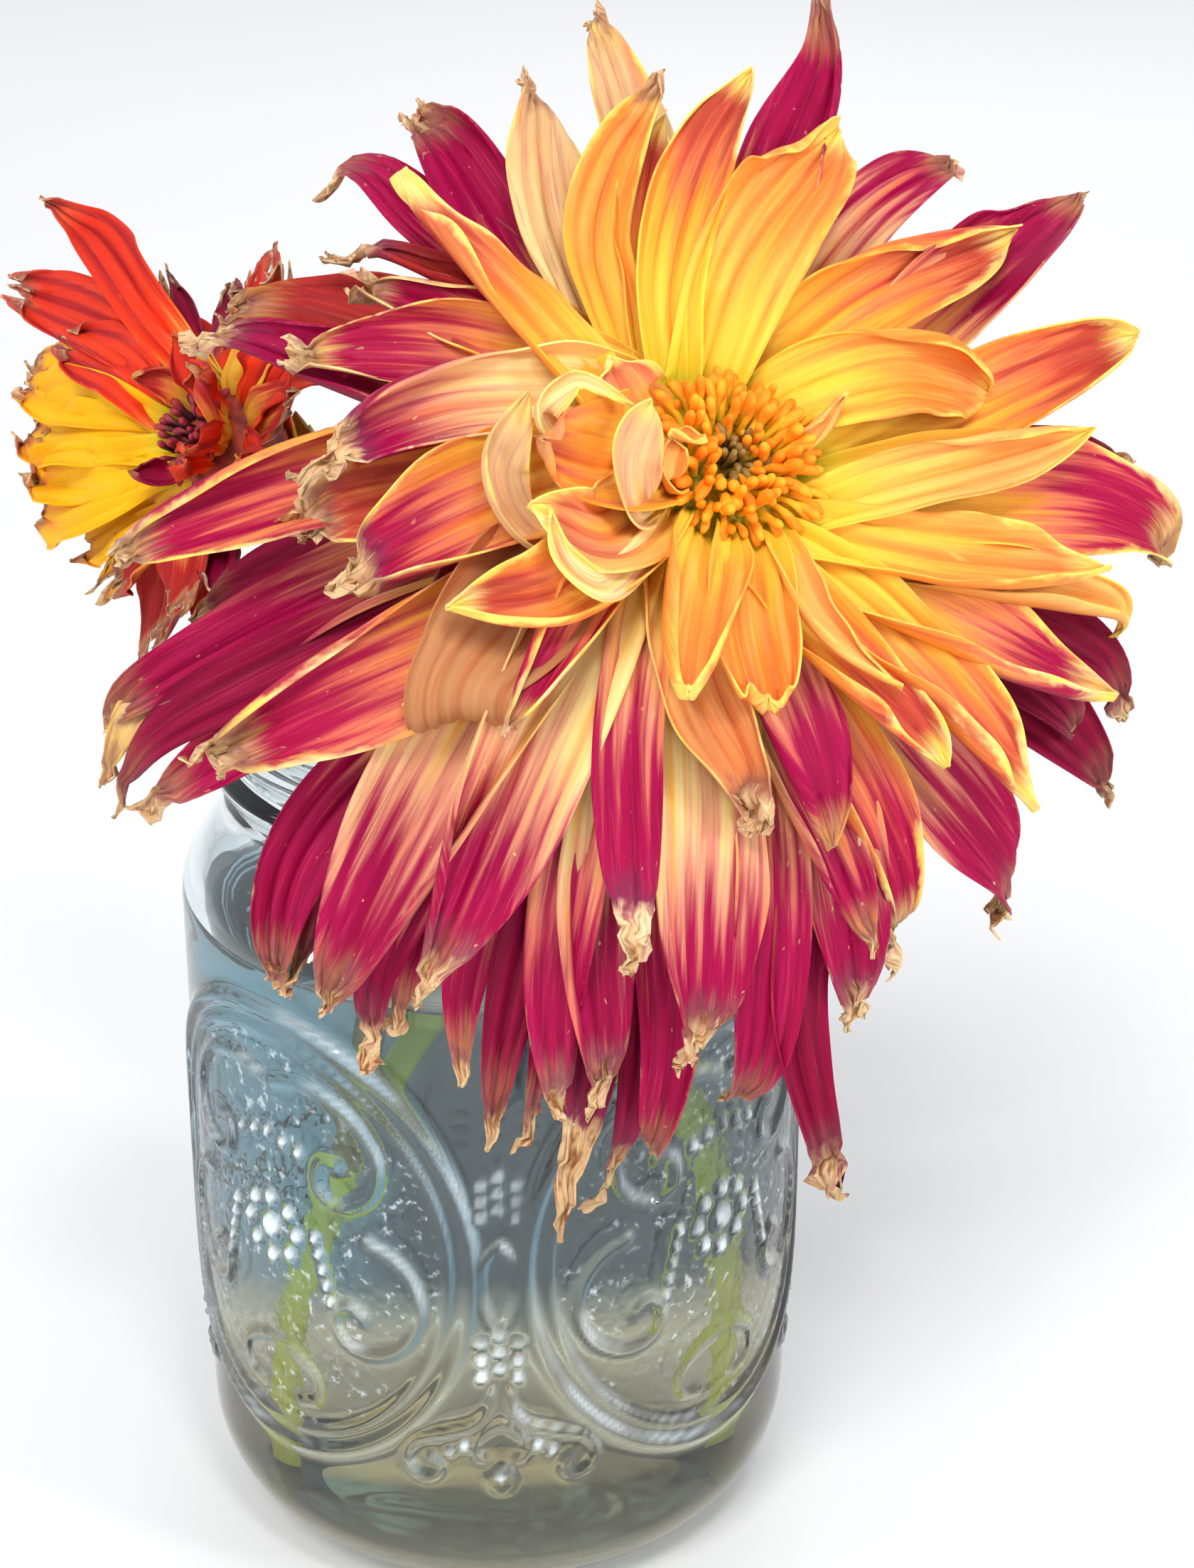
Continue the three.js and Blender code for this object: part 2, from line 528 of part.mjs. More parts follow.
/** A domed disc with rings of small florets standing on it. */
function floretSolid( head, dome, rings ) {

	const foot = CORE_TOP * head.size + GAP;
	const brow = [ dome.radius * 0.8, foot + 0.7 * dome.height ];
	const profile = [ [ 0, foot ], [ dome.radius, foot ], brow, [ 0, foot + dome.height ] ];
	const solids = [ solidOf( turned( head, profile, DOME_SIDES ) ) ];

	for ( const ring of rings ) {

		for ( let i = 0; i < ring.count; i ++ ) {

			const angle = 360 * ( i + ring.shift ) / ring.count;
			const root = head.at( angle, ring.radius, foot + 0.3 );
			const reach = ring.radius + ring.height * sin( ring.lean * RAD );
			const tip = head.at( angle, reach, foot + ring.height );
			solids.push( solidOf( taperedPost( root, tip, 0.7 * ring.thick, ring.thick ) ) );

		}

	}

	return joined( solids );

}

/** A small four-sided post from one point to another, with its two radii. */
function taperedPost( root, tip, rootRadius, tipRadius ) {

	const along = tip.clone().sub( root );
	const post = new THREE.CylinderGeometry( tipRadius, rootRadius, along.length(), 4 );
	const turn = new THREE.Quaternion().setFromUnitVectors( v3( 0, 1, 0 ), along.clone().normalize() );
	post.applyQuaternion( turn );
	return post.translate( ...root.clone().lerp( tip, 0.5 ).toArray() );

}

// ---------------------------------------------------------------- stems

const STEM_RADIUS = 2.3;
const HOLE_RADIUS = STEM_RADIUS + GAP + 0.03;
const STEM_SIDES = 8;
const STEM_STEPS = 14;
const SHOOT_SIDES = 6;
const SHOOT_STEPS = 5;
const CALYX_DEPTH = 6;
const CALYX_SIDES = 12;
const CALYX_LIP = 7.2;              // radius of the green cup under a flower head
const BRACT_REACH = 6;
const BRACT_DROP = 9;
const BRACT_HALVES = [ 2, 2.4, 0.7 ];      // half widths at the root, the middle and the tip
const STEM_FOOT = JAR_FLOOR + GAP + 0.35;  // a leaning end keeps its lower edge off the floor

const frontNeck = front.at( 0, 0, CORE_FOOT - GAP - CALYX_DEPTH );
const FRONT_ROUTE = [
	v3( -22, -2, STEM_FOOT ),
	v3( -20.5, 0, 28 ),
	v3( -13, 2, 58 ),
	v3( -1, 3, 90 ),
	v3( 12, 0, 115 ),
	frontNeck,
];
const SHOOT_RADIUS = 1.7;
const SHOOT_ROUTE = [ v3( -14.4, 1.8, 53.5 ), v3( -12.5, -1.5, 72 ), v3( -9.5, -4, 98 ) ];
const rearNeck = rear.at( 0, 0, CORE_FOOT * rear.size - GAP - CALYX_DEPTH );
const REAR_ROUTE = [
	v3( 21.5, 2, STEM_FOOT ),
	v3( 21, 6, 35 ),
	v3( 15, 11, 68 ),
	v3( 5, 13, 98 ),
	v3( -5, 13, 119 ),
	v3( -13, 22, 130 ),
	rearNeck,
];

/** A stem's route with its last stretch up into the green cup. */
function stemLine( head, route ) {

	return [ ...route, route[ route.length - 1 ].clone().addScaledVector( head.axis, 2 ) ];

}

/** A stem with its side shoots and the green cup and bracts that hold its flower head. */
function stemSolid( head, route, bracts, shoots ) {

	const top = CORE_FOOT * head.size - GAP;
	const foot = top - CALYX_DEPTH;
	const lip = CALYX_LIP * head.size;
	const cup = [
		[ 0, foot - 3 ],
		[ STEM_RADIUS * 0.9, foot - 3 ],
		[ lip * 0.6, foot + 1.5 ],
		[ lip, top - 1.5 ],
		[ lip, top ],
		[ 0, top ],
	];
	const solids = [ solidOf( turned( head, cup, CALYX_SIDES ) ) ];
	solids.push( solidOf( tube( stemLine( head, route ), STEM_RADIUS, STEM_SIDES, STEM_STEPS ) ) );

	for ( const shoot of shoots ) {

		solids.push( solidOf( tube( shoot, SHOOT_RADIUS, SHOOT_SIDES, SHOOT_STEPS ) ) );

	}

	for ( let i = 0; i < bracts; i ++ ) {

		const angle = 360 * i / bracts;
		const face = head.spoke( angle );
		const lateral = head.axis.clone().cross( face );
		const rows = BRACT_HALVES.map( ( half, step ) => {

			const t = step / 2;
			const place = head.at( angle, lip - 2 + BRACT_REACH * t, top - 2 - BRACT_DROP * t * t );
			return [ -half, half ].map( aside => {

				const point = place.clone().addScaledVector( lateral, aside );
				return { point, face };

			} );

		} );
		solids.push( solidOf( bladeGeometry( rows ) ) );

	}

	return joined( solids );

}

// ---------------------------------------------------------------- glass and water

/** Points on an arc of the jar's profile, ends included. */
function arc( centreRadius, centreHeight, radius, start, end, steps ) {

	return Array.from( { length: steps + 1 }, ( _, i ) => {

		const angle = ( start + ( end - start ) * i / steps ) * RAD;
		return [ centreRadius + radius * cos( angle ), centreHeight + radius * sin( angle ) ];

	} );

}

const HEEL_RADIUS = JAR_RADIUS - 0.6 - BASE_RADIUS;

/** The outer wall of the jar from the base to the lip: radius and height. */
function jarOutside() {

	return [
		...arc( BASE_RADIUS, HEEL_RADIUS, HEEL_RADIUS, -90, 0, 5 ),
		[ JAR_RADIUS, HEEL_TOP + 18 ],
		[ JAR_RADIUS, SHOULDER_LOW ],
		[ JAR_RADIUS - 2, SHOULDER_LOW + 8 ],
		[ NECK_RADIUS + 0.6, SHOULDER_HIGH ],
		[ NECK_RADIUS, BEAD_LOW ],
		[ NECK_RADIUS + BEAD_PROUD, BEAD_LOW + 1 ],
		[ NECK_RADIUS + BEAD_PROUD, BEAD_HIGH - 1 ],
		[ NECK_RADIUS, BEAD_HIGH ],
		...THREAD_HEIGHTS.flatMap( height => [
			[ NECK_RADIUS, height - THREAD_HALF ],
			[ NECK_RADIUS + THREAD_PROUD, height ],
			[ NECK_RADIUS, height + THREAD_HALF ],
		] ),
		[ LIP_RADIUS, JAR_HEIGHT - 1 ],
		[ LIP_RADIUS - 1, JAR_HEIGHT ],
	];

}

/** The inside of the jar from the lip down to the floor, set in by a gap. */
function jarInside( gap ) {

	const wall = JAR_RADIUS - JAR_WALL - gap;
	const floor = JAR_FLOOR + gap;
	const heel = HEEL_RADIUS - JAR_WALL - 0.6 - gap;
	const mouth = NECK_RADIUS - JAR_WALL - gap;
	return [
		[ mouth + 0.5, JAR_HEIGHT ],
		[ mouth, JAR_HEIGHT - 1.5 ],
		[ mouth, SHOULDER_HIGH - 1 ],
		[ wall - 2.4, SHOULDER_LOW + 7 ],
		[ wall, SHOULDER_LOW ],
		[ wall, HEEL_TOP + 18 ],
		...arc( BASE_RADIUS, floor + heel, heel, 0, -90, 4 ),
		[ 0, floor ],
	];

}

/** A body of revolution about the jar's own axis. */
function spunUpright( profile ) {

	const points = profile.map( ( [ radius, height ] ) => new THREE.Vector2( radius, height ) );
	return new THREE.LatheGeometry( points, JAR_SIDES ).rotateX( PI / 2 );

}

/** The glass jar: base, rounded heel, wall, shoulder, bead, thread and lip. */
function jarSolid() {

	return solidOf( spunUpright( [ [ 0, 0 ], ...jarOutside(), ...jarInside( 0 ) ] ) );

}

/** The water, with a plain hole for each stem. */
function waterSolid() {

	const below = jarInside( GAP ).filter( ( [ , height ] ) => height < WATER_LEVEL );
	const rim = below[ 0 ][ 0 ];
	const outline = [ [ 0, WATER_LEVEL ], [ rim, WATER_LEVEL ], ...below ];
	const body = solidOf( spunUpright( outline.reverse() ) );
	const holes = [ [ front, FRONT_ROUTE ], [ rear, REAR_ROUTE ] ].flatMap( ( [ head, route ] ) => {

		const foot = route[ 0 ];
		const well = [ foot.clone().setZ( JAR_FLOOR - 2 ), foot.clone().setZ( STEM_FOOT + 1 ) ];
		return [
			solidOf( tube( stemLine( head, route ), HOLE_RADIUS, STEM_SIDES, STEM_STEPS ) ),
			solidOf( tube( well, HOLE_RADIUS + GAP, STEM_SIDES, 1 ) ),
		];

	} );
	holes.push( solidOf( tube( SHOOT_ROUTE, SHOOT_RADIUS + GAP + 0.1, SHOOT_SIDES, SHOOT_STEPS ) ) );
	return body.subtract( wasm.Manifold.union( holes ) );

}

// ---------------------------------------------------------------- assembly

const DOME_SIDES = 12;
const FRONT_DOME = { radius: 8.2, height: 3 };
const FRONT_FLORETS = [
	{ radius: 6.9, count: 14, height: 5.2, lean: 18, thick: 0.9, shift: 0 },
	{ radius: 4.9, count: 10, height: 5.6, lean: 12, thick: 0.9, shift: 0.5 },
	{ radius: 2.9, count: 6, height: 4.4, lean: 6, thick: 0.85, shift: 0.2 },
	{ radius: 1.2, count: 3, height: 3.6, lean: 0, thick: 0.8, shift: 0.5 },
];
const REAR_DOME = { radius: 6.2, height: 2.6 };
const REAR_FLORETS = [
	{ radius: 4.6, count: 9, height: 5.5, lean: 12, thick: 1.1, shift: 0 },
	{ radius: 2.2, count: 5, height: 4.2, lean: -5, thick: 1, shift: 0.5 },
];

/** A plain material that isn't metal. */
function finish( color, roughness ) {

	return new THREE.MeshStandardMaterial( { color, roughness, metalness: 0 } );

}

const GLASS = finish( 0x9fb4bb, 0.05 );
const WATER = finish( 0x6f8a92, 0.03 );
const PETAL_ORANGE = finish( 0xd9682a, 0.6 );
const PETAL_RED = finish( 0xd8401f, 0.6 );
const FLORET_ORANGE = finish( 0xf08a12, 0.7 );
const HEART_MAROON = finish( 0x7a1420, 0.7 );
const STEM_GREEN = finish( 0x7f9a3a, 0.55 );

const flowers = new THREE.Group();

/** Adds a named piece to the assembly. */
function add( name, solid, material ) {

	const mesh = new THREE.Mesh( geometryOf( solid ), material );
	mesh.name = name;
	flowers.add( mesh );

}

add( 'jar', jarSolid(), GLASS );
add( 'water', waterSolid(), WATER );
add( 'front_dahlia_petals', frontPetals(), PETAL_ORANGE );
add( 'front_dahlia_florets', floretSolid( front, FRONT_DOME, FRONT_FLORETS ), FLORET_ORANGE );
add( 'front_dahlia_stem', stemSolid( front, FRONT_ROUTE, 7, [ SHOOT_ROUTE ] ), STEM_GREEN );
add( 'rear_dahlia_petals', rearPetals(), PETAL_RED );
add( 'rear_dahlia_heart', floretSolid( rear, REAR_DOME, REAR_FLORETS ), HEART_MAROON );
add( 'rear_dahlia_stem', stemSolid( rear, REAR_ROUTE, 6, [] ), STEM_GREEN );

export default flowers;
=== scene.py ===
"""Looks of two cut dahlias that stand in water in an embossed preserving jar.

Everything is set out in millimetres and written to the meshes in metres. The petals
are set out as they are seen from one eye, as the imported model's petals are.
"""

import logging
import math
import random
from dataclasses import dataclass, field
from enum import Enum
from typing import Callable, Optional, Sequence, Union

import bpy
import numpy as np
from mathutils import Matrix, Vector, noise

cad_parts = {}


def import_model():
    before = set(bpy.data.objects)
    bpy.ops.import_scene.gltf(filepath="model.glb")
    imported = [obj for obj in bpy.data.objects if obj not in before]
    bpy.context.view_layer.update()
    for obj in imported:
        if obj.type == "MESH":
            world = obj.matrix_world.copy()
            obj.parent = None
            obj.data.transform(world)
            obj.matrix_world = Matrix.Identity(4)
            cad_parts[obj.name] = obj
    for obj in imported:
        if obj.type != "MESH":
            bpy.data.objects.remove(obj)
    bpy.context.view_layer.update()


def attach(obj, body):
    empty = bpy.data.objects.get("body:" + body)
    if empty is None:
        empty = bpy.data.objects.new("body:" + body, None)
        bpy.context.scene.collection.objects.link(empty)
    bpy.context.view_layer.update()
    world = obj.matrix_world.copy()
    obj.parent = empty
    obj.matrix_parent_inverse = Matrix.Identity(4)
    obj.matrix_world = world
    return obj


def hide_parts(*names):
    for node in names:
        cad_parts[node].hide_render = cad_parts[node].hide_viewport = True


LOG = logging.getLogger("dahlias")
MM = 0.001
SEAM = 0.00001
Array = np.ndarray
Colour = tuple[float, float, float]
Piece = bpy.types.Object
Material = bpy.types.Material
Socket = bpy.types.NodeSocket
Value = Union[Socket, float, Colour]


# ---- setting out


def vec(x: float, y: float, z: float) -> Array:
    """A point or direction."""
    return np.array([x, y, z], float)


def unit(v: Array) -> Array:
    """The direction of a vector, or of each row of vectors."""
    return v / np.maximum(np.linalg.norm(v, axis=-1, keepdims=True), 1e-9)


def rise(value: Union[Array, float], low: float, high: float) -> Array:
    """A smooth step from 0 at low to 1 at high."""
    t = np.clip((value - low) / (high - low), 0, 1)
    return t * t * (3 - 2 * t)


EYE = vec(0, -374, 276)
EYE_YAW = math.radians(2.1)
EYE_DIP = math.radians(24.6)
DISC = vec(28, -30, 159)
RIGHT = vec(math.cos(EYE_YAW), -math.sin(EYE_YAW), 0)
UP = vec(
    math.sin(EYE_YAW) * math.sin(EYE_DIP),
    math.cos(EYE_YAW) * math.sin(EYE_DIP),
    math.cos(EYE_DIP),
)
TOWARD = np.cross(RIGHT, UP)


def facing(right: float, up: float, toward: float) -> Array:
    """A direction given by its parts to the right, up and toward the eye."""
    return unit(RIGHT * right + UP * up + TOWARD * toward)


def sight_line(x: float, y: float) -> Array:
    """The line from the eye through a point of the front disc's plane."""
    return DISC + RIGHT * x + UP * y - EYE


def hang(x: float, y: float, front: float) -> Array:
    """A point seen at x, y that lies a given distance in front of the jar's axis."""
    line = sight_line(x, y)
    return EYE + line * (-front - EYE[1]) / line[1]


@dataclass
class Head:
    """A flower head: its middle, its axis and its size against the front one."""

    centre: Array
    axis: Array
    size: float
    across: Array = field(init=False)
    along: Array = field(init=False)

    def __post_init__(self) -> None:
        """Works out the two directions in the plane of the disc."""
        self.across = unit(RIGHT - self.axis * (RIGHT @ self.axis))
        self.along = np.cross(self.axis, self.across)

    def spoke(self, clock: float) -> Array:
        """The direction away from the axis at a clock angle, counted from the right."""
        angle = math.radians(clock)
        return self.across * math.cos(angle) + self.along * math.sin(angle)

    def at(self, clock: float, radius: float, height: float) -> Array:
        """A point by clock angle, radius and height over the disc's plane."""
        return self.centre + self.spoke(clock) * radius + self.axis * height

    def on(self, x: float, y: float, height: float) -> Array:
        """A point seen at x, y that lies at a height over the disc's plane."""
        line = sight_line(x, y)
        eye_height = (EYE - self.centre) @ self.axis
        return EYE + line * (height - eye_height) / (line @ self.axis)


REAR_DEPTH = 50.0
REAR_LINE = sight_line(-61, 3)
FRONT = Head(DISC, facing(0.27, 0.385, 0.88), 1.0)
REAR = Head(
    EYE + REAR_LINE * (1 + REAR_DEPTH / -(REAR_LINE @ TOWARD)),
    facing(-0.6, 0.25, 0.76),
    0.78,
)
on = FRONT.on
back = REAR.on


# ---- petals


class Tip(Enum):
    """How a petal ends."""

    POINT = "point"
    UNDER = "curled under"
    OVER = "curled over"
    CRUMPLED = "crumpled"
    BLUNT = "blunt"


@dataclass(frozen=True)
class Blush:
    """Where and how a petal takes colour.

    Attributes:
        start: Share of the length at which the red end begins.
        strength: How fully the red covers.
        cream: How pale the middle is.
        dry: Share of the length that has dried at the tip.
        margin: How broad and clear the pale margin is.
        warm: From 0, magenta, to 1, orange-red.
        shade: Painted shade: how far the whole petal is darkened, for petals that lie in shadow.
        flecks: How many pale flecks lie in the red.
    """

    start: float
    strength: float
    cream: float
    dry: float
    margin: float
    warm: float
    shade: float
    flecks: float


class Look(Enum):
    """The colourings found among the petals; their shade value is painted shade over the whole petal."""

    GOLD = Blush(1.2, 0.3, 0.25, 0.0, 0.8, 0.7, 0.0, 0.0)
    APRICOT = Blush(0.86, 0.45, 0.05, 0.0, 0.9, 0.5, 0.0, 0.0)
    FLAME = Blush(0.66, 0.8, 0.0, 0.0, 1.0, 0.45, 0.0, 0.0)
    EMBER = Blush(0.46, 0.95, 0.0, 0.03, 0.4, 0.8, 0.15, 0.0)
    BERRY = Blush(0.6, 1.0, 0.1, 0.03, 0.85, 0.15, 0.0, 0.2)
    LACED = Blush(0.59, 1.0, 0.95, 0.05, 0.4, 0.0, 0.0, 0.5)
    MAGENTA = Blush(0.47, 1.0, 0.6, 0.06, 0.35, 0.0, 0.0, 0.2)
    # Deep red, darkened further by painted shade.
    MAROON = Blush(0.3, 1.0, 0.0, 0.06, 0.2, 0.1, 0.35, 0.0)
    LILAC = Blush(0.55, 0.35, 1.0, 0.04, 0.8, 0.0, 0.1, 0.0)
    PEARL = Blush(0.74, 0.6, 0.2, 0.0, 1.0, 0.1, 0.0, 0.0)
    CUP = Blush(0.84, 0.85, -0.1, 0.0, 0.3, 0.25, 0.0, 0.0)
    CREAM = Blush(1.3, 0.0, 1.0, 0.0, 1.0, 0.0, 0.0, 0.0)
    STRAW = Blush(0.66, 0.5, 0.4, 0.14, 0.6, 0.7, 0.0, 0.0)
    DUSK = Blush(0.3, 0.5, 0.55, 0.0, 0.0, 0.45, 0.35, 0.0)
    SCARLET = Blush(0.08, 1.0, 0.0, 0.02, 0.1, 1.5, 0.0, 0.0)
    OCHRE = Blush(0.93, 0.6, -1.0, 0.05, 0.0, 0.9, 0.0, 0.0)


@dataclass(frozen=True)
class Row:
    """A ring of petal roots on a head, for a head of size 1."""

    radius: float
    height: float


ROWS = {
    -1: Row(7.9, -0.4),
    0: Row(9.6, -3.0),
    1: Row(10.6, -6.2),
    2: Row(11.0, -9.6),
    3: Row(10.4, -13.0),
    4: Row(9.0, -16.4),
    5: Row(7.6, -18.4),
}
COLLAR = {
    0: Row(10.2, -1.4),
    1: Row(11.4, -2.8),
    2: Row(12.4, -5.2),
    3: Row(12.8, -8.6),
    4: Row(12.0, -12.6),
}
ROOT_SUNK = 1.8
CLAW = 0.52
WIDEST = 0.6
FULLNESS = 1.32
TOOTH_DEPTH = 0.2
SPOKE_SHARE = 0.35
INNER_TURN = 1.6
DRIED = 0.7
SLIM_WIDEST = 0.74
FLAT = (0.0, 0.0)


@dataclass(frozen=True)
class Petal:
    """One petal.

    Attributes:
        clock: Clock angle of its root.
        row: Row of its root.
        wide: Greatest width.
        points: Points that the midrib passes, the tip last.
        roll: How far the clockwise and the counter-clockwise margin roll in.
        look: Its colouring.
        tip: The shape of its end.
        dry: Share of the length that has dried, if not as the colouring has it.
        teeth: Teeth across the end.
        slim: Whether its lower half is a narrow stalk.
    """

    clock: float
    row: int
    wide: float
    points: Sequence[Array]
    roll: tuple[float, float] = FLAT
    look: Look = Look.FLAME
    tip: Tip = Tip.POINT
    dry: Optional[float] = None
    teeth: int = 0
    slim: bool = False

    @property
    def dried(self) -> float:
        """Share of the length that has dried."""
        return DRIED * (self.look.value.dry if self.dry is None else self.dry)


(
    GOLD, APRICOT, FLAME, EMBER, BERRY, LACED, MAGENTA, MAROON,
    LILAC, PEARL, CUP, CREAM, STRAW, DUSK, SCARLET, OCHRE,
) = Look
POINT, UNDER, OVER, CRUMPLED, BLUNT = Tip
HANGS_FROM = 30.0


def seen(x: float, y: float, third: float) -> Array:
    """A point of a front petal as seen at x, y.

    Args:
        x: Place to the right of the disc's middle.
        y: Place above it.
        third: Height over the disc or, from HANGS_FROM on, distance in front of the
            jar's axis, as the petals that hang over the rim have it.

    Returns:
        The point.
    """
    return hang(x, y, third) if third > HANGS_FROM else on(x, y, third)


def laid_out(place: Callable[..., Array], *rows: tuple) -> list[Petal]:
    """Petals from rows of their values, each midrib given by the points that are seen.

    Args:
        place: Turns a point as seen into a point.
        *rows: For each petal its clock angle, row, width and points, then the rest.

    Returns:
        The petals.
    """
    return [
        Petal(clock, row, wide, [place(*point) for point in points], *rest)
        for clock, row, wide, points, *rest in rows
    ]


UPPER_RIGHT = laid_out(
    seen,
    (75, 1, 12.5, [(1, 22, 1), (12.5, 38, -6)], (0, 0.8), APRICOT),
    (92, 1, 8.5, [(-7.5, 20, 1), (-3.5, 35, -2), (2.5, 45, -5)], (0.3, 0.5), FLAME),
    (50, 2, 11, [(15, 19, -4), (32, 26, -9)], (0, 1.2), FLAME),
    (28, 1, 11.5, [(19, 10.5, 0), (31, 8, -5)], (0, 1.2), APRICOT, UNDER),
    (12, 2, 11.5, [(29, 6.5, -6), (46.8, 14.5, -13)], (0.5, 0.4), FLAME),
    (-3, 1, 8, [(24, -1.5, -1), (41, 3.3, -7)], (0.2, 1.2), GOLD),
    (-8, 2, 13, [(27, -4.5, -7), (43, -5, -13), (53, -10.5, -19)], FLAT, BERRY, UNDER),
    (-18, 1, 9.5, [(24, -12, -3), (42.3, -13.2, -9)], (0.9, 0), APRICOT),
    (-22, 2, 9, [(33, -14.5, -10), (49, -18, -17)], (0.8, 0.4), GOLD, UNDER),
    (38, 3, 11.5, [(28, 20, -9), (41, 31, -14)], (0.4, 0.4), MAGENTA, POINT, 0.02),
    (57, 4, 8, [(15, 28, -13), (26.7, 35, -18)], FLAT, LACED, CRUMPLED, 0.05),
    (76, 3, 10, [(5, 30, -8), (10.8, 46, -10), (9, 51.5, -11)], (0.8, 0), MAGENTA, OVER, 0.03),
    (5, 4, 8, [(33, 0, -19), (44.8, -0.8, -26)], FLAT, MAROON),
)

UPPER_LEFT = laid_out(
    seen,
    (100, 2, 7.5, [(-10, 25, -4), (-8.3, 39, -8)], FLAT, FLAME),
    (112, 2, 6.5, [(-15.5, 24, -3), (-12.5, 36, -5), (-7.5, 41.5, -7)], FLAT, APRICOT, OVER, 0.06),
    (106, 4, 8, [(-11.5, 39, -12), (-15.8, 52.3, -14)], FLAT, LILAC, CRUMPLED),
    (122, 3, 9, [(-20.5, 28, -6), (-22.3, 45, -9)], FLAT, LILAC, CRUMPLED, 0.09),
    (135, 4, 12, [(-26, 27, -10), (-36, 41, -13)], (0.9, 0), MAGENTA, CRUMPLED, 0.08),
    (140, 1, 8.5, [(-20, 12, 1), (-28, 21, -1), (-38.5, 31.5, -5)], (0, 1.1), FLAME),
    (152, 2, 9, [(-28, 15, -6), (-43, 20.5, -9)], (0.7, 0.3), BERRY, CRUMPLED, 0.08),
    (148, 3, 7.5, [(-34, 22, -9), (-46, 26, -12)], (1.1, 0.8), EMBER, CRUMPLED, 0.16),
    (142, 4, 8, [(-34, 27, -14), (-43, 34, -16), (-48, 32, -19)], FLAT, MAGENTA, UNDER, 0.1),
)

LEFT = laid_out(
    seen,
    (165, 2, 11, [(-33, 12, -6.5), (-50.5, 12.3, -10)], (0.4, 0.4), BERRY, CRUMPLED, 0.05),
    (168, 3, 10, [(-42, 9, -12), (-62.5, 16.5, -18)], (0.6, 0.4), MAGENTA, CRUMPLED, 0.14),
    (158, 4, 13, [(-41, 14.5, -19), (-57.5, 18.5, -24)], FLAT, EMBER, CRUMPLED),
    (173, 1, 12, [(-31, 6.5, -1), (-49, -1.2, -7)], (1.1, 0.3), LACED, CRUMPLED, 0.2),
    (180, 2, 12, [(-32, -3, -7), (-50, -7, -13)], FLAT, FLAME, CRUMPLED, 0.1),
    (-176, 3, 11.5, [(-45, -1.5, -14), (-73, -10.5, -27)], (1, 0), BERRY, CRUMPLED, 0.06),
    (-168, 1, 13, [(-31, -7, -2), (-46, -15, -9)], (0.3, 0.4), BERRY, CRUMPLED, 0.17),
    (-160, 2, 7, [(-26, -10, -5), (-35, -18, -10)], FLAT, EMBER, CRUMPLED, 0.18),
    (-148, 3, 13.5, [(-41, -24.5, -12), (-60.5, -34, -24)], (0.8, 0), BERRY, CRUMPLED, 0.07),
    (-165, 5, 11, [(-40, -10, -27), (-62, -18, -40)], FLAT, MAROON),
    (-160, 4, 8, [(-46, -15, -25), (-74.5, -30, -42)], FLAT, MAGENTA, UNDER),
    (-157, 5, 7, [(-48, -19, -29), (-66, -27, -40), (-73, -36, -46)], FLAT, LILAC, UNDER),
    (-153, 4, 7, [(-48, -22, -26), (-66, -32, -39), (-72.5, -39, -44)], FLAT, MAROON, UNDER),
    (-148, 5, 7.5, [(-46, -26, -29), (-68, -40.5, -44)], FLAT, MAGENTA, CRUMPLED),
)

LOWER_RIGHT = laid_out(
    seen,
    (-32, 2, 13.5, [(26, -20, -7), (42.8, -28, -14)], (0.9, 0), BERRY, POINT, 0.0),
    (-25, 4, 8, [(34, -18, -19), (43, -23.5, -24), (46.8, -29, -28)], FLAT, MAROON, CRUMPLED),
    (-33, 3, 8, [(33, -24, -16), (43, -32.5, -22)], FLAT, MAROON, UNDER),
    (-36, 5, 9, [(34, -28, -24), (44.5, -38, -32)], FLAT, MAROON, CRUMPLED),
    (-42, 1, 10.5, [(20, -23, -4), (35.3, -39.8, -12)], (0.9, 0), FLAME),
    (-54, 1, 9, [(12.5, -23, -1), (24.5, -35, -6)], (1, 0.2), FLAME),
    (-50, 0, 5, [(9.5, -18, 3), (19, -26, 0)], (1, 1), GOLD),
    (-50, 4, 12, [(24, -38, -22), (34.5, -52, -34)], FLAT, LACED, CRUMPLED, 0.08),
    (-62, 3, 9, [(14, -37, -13), (21, -55.5, -26)], (0.8, 0), BERRY, UNDER, 0.03),
    (-58, 5, 6, [(15, -42, -24), (19.5, -58.5, -35)], FLAT, STRAW, CRUMPLED, 0.3),
    (-72, 2, 10.5, [(6, -28, -4), (11, -44.5, -9)], (0.9, 0), MAGENTA, POINT, 0.0),
    (-70, 3, 8, [(9, -40, -14), (16, -56.5, -21)], (0.7, 0), LACED),
)

